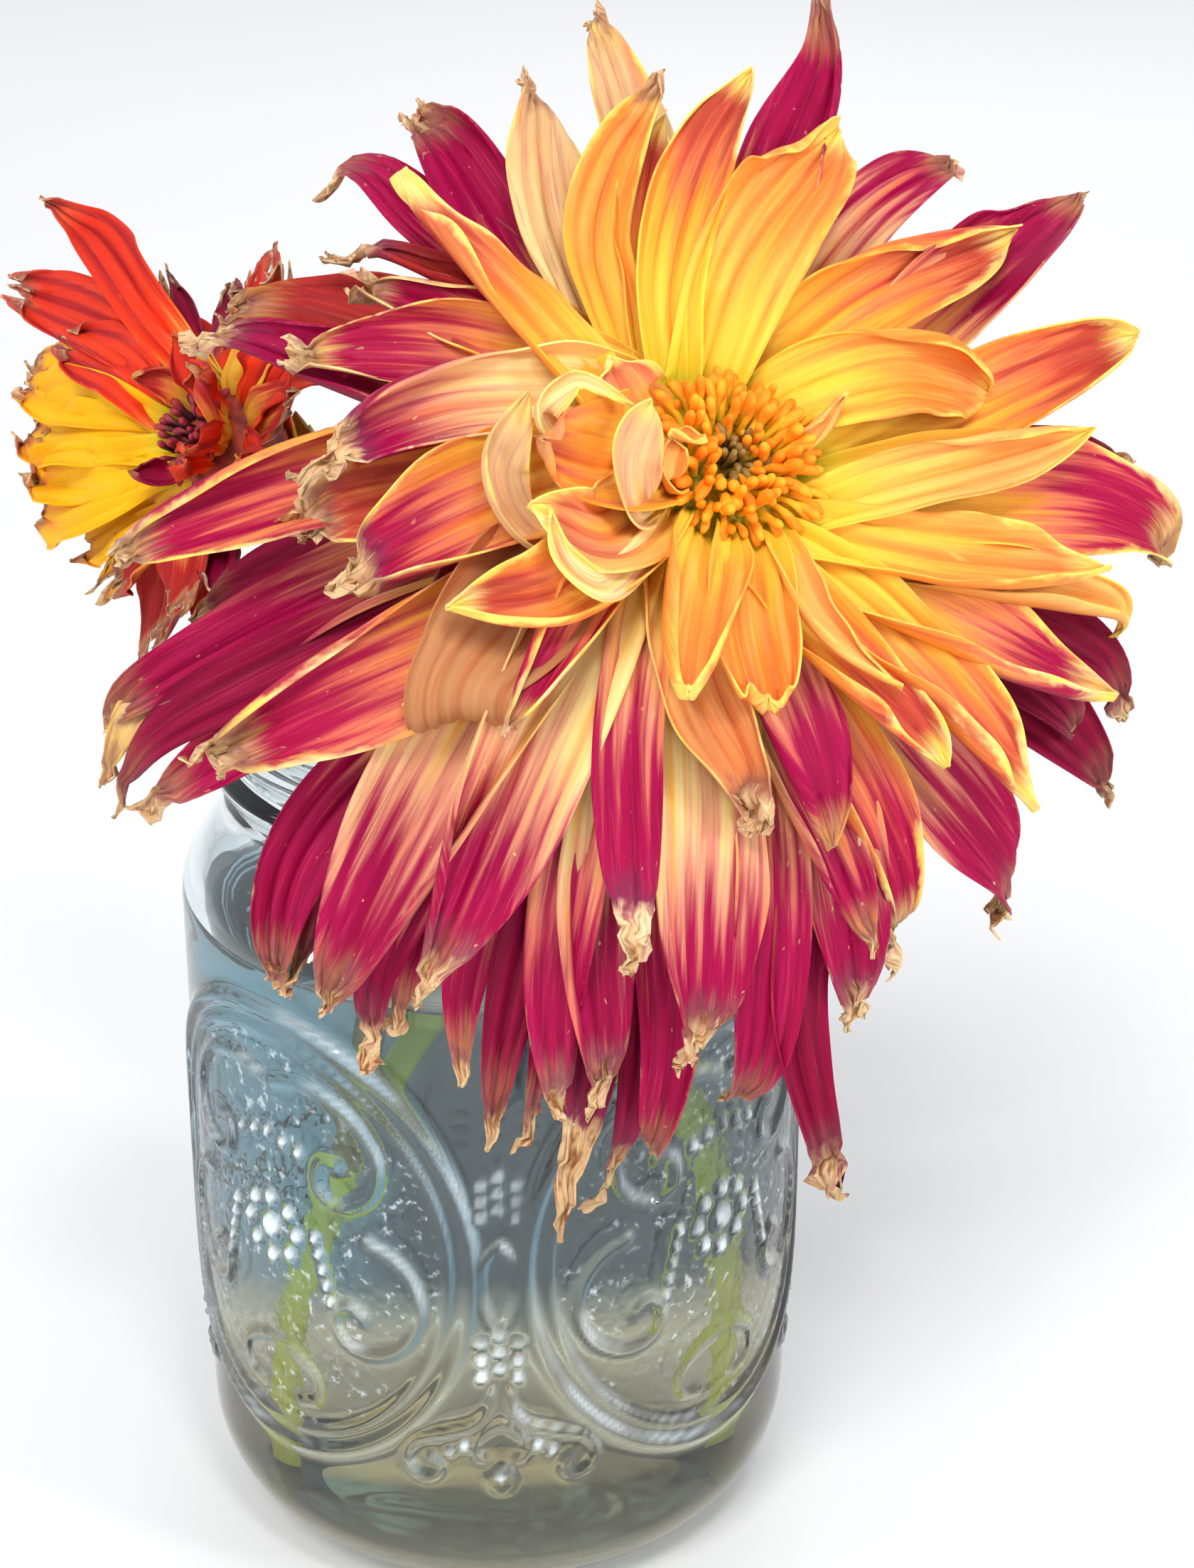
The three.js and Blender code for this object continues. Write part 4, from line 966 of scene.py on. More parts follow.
class Graph:
    """A material's nodes, with short ways to add and wire them."""

    def __init__(self, name: str) -> None:
        """Starts a material with its plain shader.

        Args:
            name: The material's name.
        """
        self.material = bpy.data.materials.new(name)
        self.material.use_nodes = True
        self.tree = self.material.node_tree
        self.shader = self.tree.nodes["Principled BSDF"]

    def node(self, kind: str, **settings: object) -> bpy.types.Node:
        """A new node with its settings."""
        made = self.tree.nodes.new(kind)
        for key, value in settings.items():
            setattr(made, key, value)
        return made

    def put(self, socket: Socket, value: Value) -> None:
        """Wires a socket to another, or sets it to a number or colour."""
        if isinstance(value, Socket):
            self.tree.links.new(value, socket)
        elif isinstance(value, tuple) and len(value) == 3 and socket.type == "RGBA":
            socket.default_value = (*value, 1.0)
        else:
            socket.default_value = value

    def math(self, operation: str, a: Value, b: Value = 0.0, clamp: bool = False) -> Socket:
        """One sum on two numbers."""
        made = self.node("ShaderNodeMath", operation=operation, use_clamp=clamp)
        self.put(made.inputs[0], a)
        self.put(made.inputs[1], b)
        return made.outputs[0]

    def plus(self, a: Value, b: Value) -> Socket:
        """The sum of two numbers."""
        return self.math("ADD", a, b)

    def less(self, a: Value, b: Value) -> Socket:
        """The first number less the second."""
        return self.math("SUBTRACT", a, b)

    def swing(self, noise: Socket, size: float) -> Socket:
        """A noise turned into a swing about 0."""
        return self.product(self.less(noise, 0.5), size)

    def product(self, *values: Value) -> Socket:
        """The product of numbers."""
        result = values[0]
        for value in values[1:]:
            result = self.math("MULTIPLY", result, value)
        return result

    def step(self, value: Value, low: float, high: float) -> Socket:
        """A smooth step from 0 at low to 1 at high."""
        made = self.node("ShaderNodeMapRange", interpolation_type="SMOOTHSTEP")
        self.put(made.inputs["Value"], value)
        made.inputs["From Min"].default_value = low
        made.inputs["From Max"].default_value = high
        return made.outputs["Result"]

    def mix(self, factor: Value, a: Value, b: Value, blend: str = "MIX") -> Socket:
        """Two colours mixed by a factor."""
        made = self.node("ShaderNodeMix", data_type="RGBA", blend_type=blend, clamp_factor=True)
        self.put(made.inputs[0], factor)
        self.put(made.inputs[6], a)
        self.put(made.inputs[7], b)
        return made.outputs[2]

    def lay(
        self, base: Value, colour: Value, pattern: Value, low: float, high: float, *shares: Value
    ) -> Socket:
        """A colour laid over a base where a pattern passes from low to high, by shares."""
        return self.mix(self.product(self.step(pattern, low, high), *shares), base, colour)

    def parts(self, vector: Socket) -> tuple[Socket, ...]:
        """The three parts of a vector."""
        made = self.node("ShaderNodeSeparateXYZ")
        self.put(made.inputs[0], vector)
        return tuple(made.outputs)

    def split(self, name: str) -> tuple[Socket, ...]:
        """The parts of a stored attribute: three, and a fourth if it is a colour."""
        made = self.node("ShaderNodeAttribute", attribute_name=name)
        return (*self.parts(made.outputs["Vector"]), made.outputs["Alpha"])

    def stretched(self, x: Value, y: Value, z: Value) -> Socket:
        """A vector from three numbers."""
        made = self.node("ShaderNodeCombineXYZ")
        for socket, value in zip(made.inputs, (x, y, z)):
            self.put(socket, value)
        return made.outputs[0]

    def place(self) -> Socket:
        """Object coordinates."""
        return self.node("ShaderNodeTexCoord").outputs["Object"]

    def noise(self, vector: Socket, scale: float, detail: float = 2.0, roughness: float = 0.5) -> Socket:
        """Soft noise from 0 to 1."""
        made = self.node("ShaderNodeTexNoise")
        self.put(made.inputs["Vector"], vector)
        made.inputs["Scale"].default_value = scale
        made.inputs["Detail"].default_value = detail
        made.inputs["Roughness"].default_value = roughness
        return made.outputs["Fac"]

    def bump(self, height: Socket, strength: float, distance: float) -> None:
        """Raises the surface by a height pattern; distance in metres."""
        made = self.node("ShaderNodeBump")
        made.inputs["Strength"].default_value = strength
        made.inputs["Distance"].default_value = distance
        self.put(made.inputs["Height"], height)
        self.put(self.shader.inputs["Normal"], made.outputs[0])

    def finish(self, colour: Value, roughness: Value, **others: Value) -> Material:
        """Sets the shader.

        Args:
            colour: The base colour.
            roughness: The roughness.
            **others: Further sockets, by name with underscores for spaces.

        Returns:
            The finished material.
        """
        self.put(self.shader.inputs["Base Color"], colour)
        self.put(self.shader.inputs["Roughness"], roughness)
        for key, value in others.items():
            self.put(self.shader.inputs[key.replace("_", " ")], value)
        return self.material


FIBRE_MAP = 100.0


class Side(Enum):
    """The two sides of a petal."""

    FACE = "face"
    REVERSE = "reverse"


@dataclass(frozen=True)
class PetalFinish:
    """The colours of the petals, root to tip, with painted shade in the fold valleys and over whole petals that lie
    in shadow.
    """

    greenish: Colour = (0.62, 0.60, 0.02)
    yellow: Colour = (0.97, 0.56, 0.05)
    gold: Colour = (0.84, 0.42, 0.004)
    orange: Colour = (0.88, 0.29, 0.035)
    peach: Colour = (0.94, 0.46, 0.10)
    russet: Colour = (0.80, 0.17, 0.022)
    # Amber serves the streaks and the painted shade in the fold valleys.
    amber_streaks_and_shade: Colour = (0.72, 0.13, 0.018)
    straw: Colour = (0.98, 0.64, 0.10)
    cream: Colour = (0.93, 0.72, 0.30)
    coral: Colour = (0.72, 0.10, 0.045)
    rose: Colour = (0.62, 0.05, 0.12)
    scarlet: Colour = (0.46, 0.012, 0.008)
    flare: Colour = (0.84, 0.045, 0.010)
    magenta: Colour = (0.35, 0.0015, 0.058)
    wine: Colour = (0.14, 0.0008, 0.020)
    margin: Colour = (0.93, 0.67, 0.13)
    blanched: Colour = (0.92, 0.66, 0.42)
    tan: Colour = (0.74, 0.48, 0.24)
    brown: Colour = (0.26, 0.10, 0.03)
    plum: Colour = (0.17, 0.03, 0.075)
    lilac: Colour = (0.60, 0.20, 0.20)

    def material(self, side: Side) -> Material:
        """The petal material for one side.

        Args:
            side: The side of the petal.

        Returns:
            The material.
        """
        g = Graph(f"petal_{side.value}")
        across, along, seed, _ = g.split("place")
        start, strength, cream, dry = g.split("blush")
        margin, warm, shade, flecks = g.split("tint_and_shade")
        fold = g.split("fold")[0]
        u, v, _ = g.parts(g.node("ShaderNodeUVMap", uv_map="fibres").outputs[0])
        x, y = g.product(u, FIBRE_MAP), g.product(v, FIBRE_MAP)
        drift = g.product(seed, 90.0)
        fibre = g.noise(g.stretched(g.product(x, 2.1), g.product(y, 0.06), drift), 1.0, 4.0, 0.65)
        band = g.noise(g.stretched(g.product(x, 0.6), g.product(y, 0.04), drift), 1.0, 2.0, 0.5)
        blotch = g.noise(g.stretched(g.product(x, 0.4), g.product(y, 0.2), drift), 1.0, 3.0, 0.6)
        fleck = g.noise(g.stretched(g.product(x, 1.0), g.product(y, 0.55), drift), 1.0, 1.0, 0.4)
        edge = g.math("ABSOLUTE", across)
        # Painted shade: the valleys of the lengthwise folds are darkened, to amber in the orange part and to wine
        # in the red.
        valley_shade = g.step(fold, 0.3, -0.7)

        base = self._ground(g, along, seed, cream, fibre, band, valley_shade)
        wobble = g.plus(g.swing(fibre, 0.24), g.product(valley_shade, 0.08))
        wobble = g.plus(wobble, g.swing(band, 0.6))
        held = g.product(g.math("POWER", edge, 3.0), margin, 0.16)
        front = g.less(g.plus(g.less(along, start), wobble), held)
        cover = g.product(g.step(front, -0.2, 0.22), strength)
        base = g.mix(cover, base, self._red(g, front, warm, fibre, valley_shade))
        spotted = g.product(g.step(fleck, 0.75, 0.78), g.step(front, -0.1, 0.1), flecks)
        base = g.mix(spotted, base, self.cream)

        reach = g.less(1.13, g.product(margin, g.step(along, 0.2, 0.95), 0.4))
        past = g.less(g.plus(edge, g.swing(blotch, 0.5)), reach)
        pale = g.mix(g.product(cover, g.step(band, 0.4, 0.6), 0.5), self.margin, self.blanched)
        rim = g.product(g.step(past, 0.0, 0.2), g.step(along, 0.3, 0.7), g.math("POWER", margin, 0.5))
        end = g.plus(along, g.swing(fibre, 0.16))
        end = g.product(g.step(end, 0.86, 0.97), margin)
        base = g.mix(g.math("MAXIMUM", rim, end), base, pale)
        lined = g.product(g.step(fibre, 0.5, 0.66), g.step(along, 0.25, 0.6), 0.6)
        if side is Side.REVERSE:
            base = g.mix(0.35, base, self.cream)
        else:
            lined = g.product(lined, g.step(cream, 0.96, 1.0))
        base = g.mix(lined, base, self.lilac)
        base, parched = self._dried(g, base, along, dry, blotch, fibre)
        # Painted shade: the whole petal darkened by its shade value.
        dark = g.less(1.0, g.product(shade, 0.75))
        base = g.mix(1.0, base, g.stretched(dark, dark, dark), "MULTIPLY")
        height = g.plus(fibre, g.product(band, 0.8))
        g.bump(height, 0.4, 0.0002)
        rough = g.plus(0.52, g.product(parched, 0.3))
        return g.finish(
            base, rough, Subsurface_Weight=0.2, Subsurface_Scale=0.0015, Specular_IOR_Level=0.3, IOR=1.28
        )

    def _ground(
        self, g: Graph, along: Socket, seed: Socket, cream: Socket, fibre: Socket, band: Socket, valley_shade: Socket
    ) -> Socket:
        """The yellow and orange part of a petal."""
        base = g.lay(self.greenish, self.yellow, along, 0.07, 0.22)
        orange = g.mix(g.product(seed, 0.6), self.orange, self.russet)
        reach = g.plus(along, g.swing(band, 0.5))
        base = g.lay(base, orange, reach, 0.2, 0.68)
        golden = g.math("MULTIPLY", cream, -1.0, clamp=True)
        base = g.mix(g.product(golden, g.step(along, 0.05, 0.2)), base, self.gold)
        plain = g.less(1.0, g.product(golden, 0.75))
        out = g.product(g.step(along, 0.14, 0.45), plain)
        base = g.lay(base, self.peach, band, 0.45, 0.65, out, 0.5)
        base = g.mix(g.product(cream, g.step(along, 0.16, 0.42), g.step(band, 0.2, 0.5)), base, self.cream)
        lines = g.product(out, g.less(0.5, g.product(g.math("ABSOLUTE", cream), 0.3)))
        # Painted shade: amber laid in the fold valleys.
        base = g.mix(g.product(valley_shade, lines, 0.9), base, self.amber_streaks_and_shade)
        base = g.lay(base, self.amber_streaks_and_shade, fibre, 0.5, 0.72, lines, 0.65)
        return g.lay(base, self.straw, fibre, 0.5, 0.3, plain, 0.3)

    def _red(self, g: Graph, front: Socket, warm: Socket, fibre: Socket, valley_shade: Socket) -> Socket:
        """The red part of a petal, by how far past the border it lies."""
        rosy = g.mix(warm, self.rose, self.coral)
        deep = g.mix(warm, self.magenta, self.scarlet)
        deep = g.lay(deep, self.flare, warm, 1.0, 1.5)
        red = g.lay(rosy, deep, front, 0.0, 0.16)
        far = g.step(front, 0.1, 0.6)
        # Darker towards the tip, and deeper still in the fold valleys as painted shade.
        red = g.mix(g.product(far, g.plus(0.3, g.product(valley_shade, 0.4))), red, self.wine)
        red = g.lay(red, self.wine, fibre, 0.53, 0.72, 0.3)
        return g.lay(red, rosy, fibre, 0.48, 0.28, 0.35)

    def _dried(
        self, g: Graph, base: Socket, along: Socket, dry: Socket, blotch: Socket, fibre: Socket
    ) -> tuple[Socket, Socket]:
        """A petal's colour with its dried end, and where it has dried."""
        some = g.step(dry, 0.0, 0.02)
        ragged = g.plus(along, g.swing(blotch, 0.16))
        past = g.less(ragged, g.less(1.0, dry))
        parched = g.product(g.step(past, -0.02, 0.025), some)
        husk = g.lay(self.tan, self.brown, blotch, 0.5, 0.66)
        husk = g.lay(husk, self.lilac, blotch, 0.46, 0.34, 0.7)
        husk = g.lay(husk, self.brown, fibre, 0.52, 0.7, 0.6)
        husk = g.lay(husk, self.blanched, fibre, 0.5, 0.34, 0.8)
        base = g.lay(base, self.plum, past, -0.08, 0.0, some, 0.7)
        return g.mix(parched, base, husk), parched


# ---- blooms


@dataclass
class Bloom:
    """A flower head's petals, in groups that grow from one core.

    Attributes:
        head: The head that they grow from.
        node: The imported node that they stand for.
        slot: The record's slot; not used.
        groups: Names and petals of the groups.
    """

    head: Head
    node: str
    slot: str
    groups: dict[str, Sequence[Petal]]
    thick: float = 0.26
    seed: int = 11

    def build(self, finish: PetalFinish) -> None:
        """Makes and dresses every group.

        Args:
            finish: The petals' colours.
        """
        face, reverse = finish.material(Side.FACE), finish.material(Side.REVERSE)
        for name, petals in self.groups.items():
            piece = self._group(name, petals)
            Bench.dress(piece, self.slot, face, reverse)
            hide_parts(self.node)

    def _group(self, name: str, petals: Sequence[Petal]) -> Piece:
        """One group of petals as a closed piece."""
        blank = Bench.grid(name, Blade.COLUMNS, Blade.LENGTHS)
        made = [self._petal(blank, petal, self.seed * 1000 + k) for k, petal in enumerate(petals)]
        bpy.data.objects.remove(blank)
        self.seed += 1
        piece = Bench.joined(name, made)
        Bench.modify(
            piece, "SOLIDIFY", thickness=self.thick * MM, offset=0.0, material_offset=1, material_offset_rim=0
        )
        Bench.smooth(piece, 70)
        return piece

    def _petal(self, blank: Piece, petal: Petal, seed: int) -> Piece:
        """One petal's sheet with its colouring stored on it."""
        piece = Bench.copy(blank)
        i, j = Bench.cells(blank, Blade.COLUMNS, Blade.LENGTHS)
        points, across, along, fold = Blade(petal, self.head, seed).surface()
        Bench.shape(piece, points)
        Bench.attribute(piece, "fold", fold[i, j][:, None])
        dice = random.Random(seed)
        chance = dice.random()
        count = len(i)
        Bench.attribute(piece, "place", np.stack([across[i, j], along[i, j], np.full(count, chance)], 1))
        look = petal.look.value
        start = look.start + dice.uniform(-0.05, 0.05)
        Bench.attribute(piece, "blush", np.tile([start, look.strength, look.cream, petal.dried], (count, 1)))
        Bench.attribute(piece, "tint_and_shade", np.tile([look.margin, look.warm, look.shade, look.flecks], (count, 1)))
        self._fibres(piece, points, i, j)
        return piece

    @staticmethod
    def _fibres(piece: Piece, points: Array, i: Array, j: Array) -> None:
        """Lays the map that the fibres follow, in real size: 1 is FIBRE_MAP."""
        aside = np.linalg.norm(np.diff(points, axis=1), axis=2)
        ahead = np.linalg.norm(np.diff(points, axis=0), axis=2)
        u = np.concatenate([np.zeros((len(points), 1)), np.cumsum(aside, 1)], 1)
        u = u - u[:, u.shape[1] // 2][:, None]
        v = np.concatenate([np.zeros((1, points.shape[1])), np.cumsum(ahead, 0)], 0)
        loops = np.zeros(len(piece.data.loops), dtype=np.int32)
        piece.data.loops.foreach_get("vertex_index", loops)
        layer = piece.data.uv_layers[0]
        layer.name = "fibres"
        pairs = np.stack([u[i, j][loops], v[i, j][loops]], 1) / FIBRE_MAP
        layer.uv.foreach_set("vector", pairs.ravel())


@dataclass
class Core:
    """The dense middle that petals and florets grow from.

    Attributes:
        head: The head that it belongs to.
        name: The piece's name.
        slot: The record's slot; not used.
        waist: Height of its widest part, for a head of size 1, as the others are.
        dome: How high it rises above the waist.
        depth: How far it reaches below.
        wide: Its radius above the waist.
    """

    head: Head
    name: str
    slot: str
    waist: float = -4.4
    dome: float = 3.4
    depth: float = 15.5
    wide: float = 9.6

    def build(self, material: Material) -> None:
        """Makes and dresses the core."""
        head, size = self.head, self.head.size
        piece = Bench.ball(self.name, 32, 16)
        x, y, z = Bench.corners(piece).T
        radial = np.hypot(x, y)
        height = z * np.where(z > 0, self.dome, self.depth) + self.waist
        wide = np.where(z > 0, self.wide, self.wide + 0.2 - 1.4 * (z < -0.6))
        reach, spread = radial**0.7 * wide * size, np.maximum(radial, 1e-6)
        points = (
            head.centre
            + np.outer(x / spread * reach, head.across)
            + np.outer(y / spread * reach, head.along)
            + np.outer(height * size, head.axis)
        )
        Bench.set_corners(piece, points)
        Bench.smooth(piece)
        Bench.dress(piece, self.slot, material)


@dataclass(frozen=True)
class Ring:
    """A ring of florets on a disc: radius, count, length, lean outwards and thickness."""

    radius: float
    count: int
    length: float
    lean: float
    thick: float


@dataclass
class Florets:
    """The florets of a disc, each a bent club with a swollen end."""

    head: Head
    node: str
    slot: str
    dome: float
    rings: Sequence[Ring]
    seed: int

    def build(self, club: Material, bud: Material) -> None:
        """Makes the clubs and the closed buds in the middle.

        Args:
            club: The material of the open florets.
            bud: The material of the closed ones.
        """
        dice = random.Random(self.seed)
        for kind, material, rings in (
            ("open", club, [r for r in self.rings if r.radius > 2.0 * self.head.size]),
            ("closed", bud, [r for r in self.rings if r.radius <= 2.0 * self.head.size]),
        ):
            model = Bench.ball(f"{self.node}_{kind}", 9, 9)
            ball = Bench.corners(model)
            places = [
                self._club(ball, ring, 360 * (k + dice.uniform(-0.3, 0.3)) / ring.count, dice)
                for ring in rings
                for k in range(ring.count)
            ]
            piece = Bench.copies(f"{self.node}_{kind}", model, places)
            share = np.concatenate([0.5 * (ball[:, 2:3] + 1)] * len(places))
            Bench.attribute(piece, "share", share)
            Bench.smooth(piece, 80)
            Bench.dress(piece, self.slot, material)
            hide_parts(self.node)

    def _club(self, ball: Array, ring: Ring, clock: float, dice: random.Random) -> Array:
        """One floret's vertices (mm), from those of a ball."""
        head = self.head
        share = 0.5 * (ball[:, 2] + 1)
        length = ring.length * dice.uniform(0.8, 1.2)
        lean = math.radians(ring.lean + dice.uniform(-12, 12))
        bend = math.radians(dice.uniform(-15, 55))
        angle = lean + bend * share
        out = length * share * np.sin(angle)
        up = length * share * np.cos(angle)
        swell = 0.72 + 0.38 * rise(share, 0.35, 0.8) - 0.15 * rise(share, 0.0, 0.3)
        round_end = np.sqrt(np.clip(1 - np.clip((share - 0.78) / 0.23, 0, 1) ** 2, 0, 1))
        thick = ring.thick * dice.uniform(0.8, 1.15) * swell * np.maximum(round_end, 0.02)
        radial = np.maximum(np.hypot(ball[:, 0], ball[:, 1]), 1e-6)
        a, b = ball[:, 0] / radial * thick, ball[:, 1] / radial * thick
        a, b = np.where(share < 0.001, 0, a), np.where(share < 0.001, 0, b)
        radius = ring.radius + dice.uniform(-0.5, 0.5)
        foot = self.dome - 0.25 * self.dome * (ring.radius / (7.5 * head.size)) ** 2 - 2.4
        spoke = head.spoke(clock)
        side = head.spoke(clock + 90 + dice.uniform(-12, 12))
        return (
            head.centre
            + np.outer(radius + out + a * np.cos(angle), spoke)
            + np.outer(b, side)
            + np.outer(foot + up - a * np.sin(angle), head.axis)
        )


@dataclass
class Stem:
    """A stem with the green cup, the bracts and the papery scales under its head.

    Attributes:
        head: The head that it carries.
        node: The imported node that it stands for.
        route: Points that it passes, from the jar's floor up.
        bracts: How many bracts it has.
        seed: Where chance starts.
        radius: Its radius.
        calyx: How tall the cup is.
        core_foot: Height of the core's foot, for a head of size 1.
        lip: Radius of the cup's lip, for a head of size 1.
        scales: How many papery scales it has.
        hairs: How many hairs it has.
    """

    head: Head
    node: str
    route: Sequence[Array]
    bracts: int
    seed: int
    radius: float = 2.3
    calyx: float = 6.0
    core_foot: float = -21.0
    lip: float = 7.2
    scales: int = 13
    hairs: int = 150

    def build(self, green: Material, papery: Material) -> None:
        """Makes and dresses the stem.

        Args:
            green: The material of the stem and the bracts.
            papery: The material of the scales.
        """
        head = self.head
        top = self.core_foot * head.size - 0.3
        neck = head.at(0, 0, top - self.calyx)
        rib = Rib([*self.route, neck, neck + head.axis * 2])
        share = np.linspace(0, 1, 90)
        dice = random.Random(self.seed)
        swell = 0.7 + 0.04 * np.sin(share * 23 + 1) + 0.3 * rise(share, 0.45, 0.7) + 0.25 * rise(share, 0.9, 1.0)
        rod = Bench.rod(self.node, rib.at(share), self.radius * swell, 20)
        parts = [rod, self._cup(top)]
        parts += [self._bract(360 * k / self.bracts, top, dice) for k in range(self.bracts)]
        piece = Bench.joined(f"{self.node}_green", parts)
        Bench.smooth(piece, 60)
        Bench.dress(piece, "stem_green", green)
        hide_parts(self.node)
        hairs = [self._hair(rib, self.radius, dice) for _ in range(self.hairs)]
        Bench.dress(Bench.joined(f"{self.node}_hairs", hairs), "stem_green", papery)
        scales = [self._scale(360 * k / self.scales, top, dice) for k in range(self.scales)]
        husk = Bench.joined(f"{self.node}_scales", scales)
        Bench.smooth(husk, 60)
        Bench.dress(husk, "stem_green", papery)

    @staticmethod
    def _hair(rib: Rib, radius: float, dice: random.Random) -> Piece:
        """One fine hair on the part of the stem that stands in the air."""
        share = np.array([dice.uniform(0.72, 0.96)])
        foot, slope = rib.at(share)[0], rib.slope(share)[0]
        aside = unit(np.cross(slope, unit(vec(dice.gauss(0, 1), dice.gauss(0, 1), dice.gauss(0, 1)))))
        way = unit(aside + slope * dice.uniform(-0.3, 0.5))
        reach = np.array([0.6, 1.0, 1.35]) * radius + np.array([0.0, 0.0, dice.uniform(-0.2, 0.5)])
        return Bench.rod("hair", foot + way * reach[:, None], np.array([0.07, 0.06, 0.02]), 4)

    def _cup(self, top: float) -> Piece:
        """The green cup that the head sits in."""
        head, lip = self.head, self.lip * self.head.size
        foot = top - self.calyx
        profile = Rib([vec(r, h, 0) for r, h in ((2.2, foot - 3), (3.2, foot), (lip * 0.8, top - 2.6), (lip, top))])
        line = profile.at(np.linspace(0, 1, 14))
        rings = [vec(0.0, foot - 3, 0), *line, vec(0.0, top, 0)]
        turns = np.linspace(0, 2 * math.pi, 25)
        grid = np.array([[head.at(math.degrees(turn), ring[0], ring[1]) for turn in turns] for ring in rings])
        return Bench.skin("cup", grid)

    def _leaf(self, name: str, root: Array, tip: Array, out: Array, wide: float, thick: float) -> Piece:
        """A small leaf blade from root to tip that bows outwards."""
        middle = 0.5 * (root + tip) + out
        rib = Rib([root, middle, tip])
        along = np.linspace(0, 1, 13)
        across = np.linspace(1, -1, 7)
        slope = rib.slope(along)
        lateral = unit(np.cross(slope, unit(out)))
        face = np.cross(slope, lateral)
        half = 0.5 * wide * np.sin(math.pi * np.clip(0.14 + 0.86 * along, 0, 1)) ** 0.8
        half = np.maximum(half, 0.12)
        grid = (
            rib.at(along)[:, None]
            + lateral[:, None] * (half[:, None] * across[None, :])[..., None]
            + face[:, None] * (half[:, None] * 0.3 * across[None, :] ** 2)[..., None]
        )
        piece = Bench.sheet(name, grid)
        Bench.modify(piece, "SOLIDIFY", thickness=thick * MM, offset=0.0)
        return piece

    def _bract(self, clock: float, top: float, dice: random.Random) -> Piece:
        """One fleshy bract, bent back toward the stem."""
        head, lip = self.head, self.lip * self.head.size
        clock += dice.uniform(-8, 8)
        root = head.at(clock, lip - 2, top - 2)
        tip = head.at(clock + dice.uniform(-8, 8), lip + 4, top - 11 - dice.uniform(0, 1.5))
        out = head.spoke(clock) * 1.9 + head.axis * 1.4
        return self._leaf("bract", root, tip, out, 5.0, 0.6)

    def _scale(self, clock: float, top: float, dice: random.Random) -> Piece:
        """One papery scale that hugs the base of the head."""
        head, lip = self.head, self.lip * self.head.size
        root = head.at(clock, lip - 1.2, top - 1.2)
        reach = lip + 2.2 + dice.uniform(0, 1.4)
        tip = head.at(clock + dice.uniform(-5, 5), reach, top + 4.5 * head.size + dice.uniform(-0.6, 0.6))
        return self._leaf("scale", root, tip, head.spoke(clock) * 1.0, 4.4, 0.3)


# ---- jar


@dataclass(frozen=True)
class Ridge:
    """A raised line of the ornament, through points of arc and height."""

    points: Sequence[tuple[float, float]]
    proud: float = 0.62
    half: float = 0.62


@dataclass(frozen=True)
class Bead:
    """A raised bead of the ornament: arc, height, radius and how far it stands out."""

    arc: float
    height: float
    radius: float = 1.15
    proud: float = 0.75


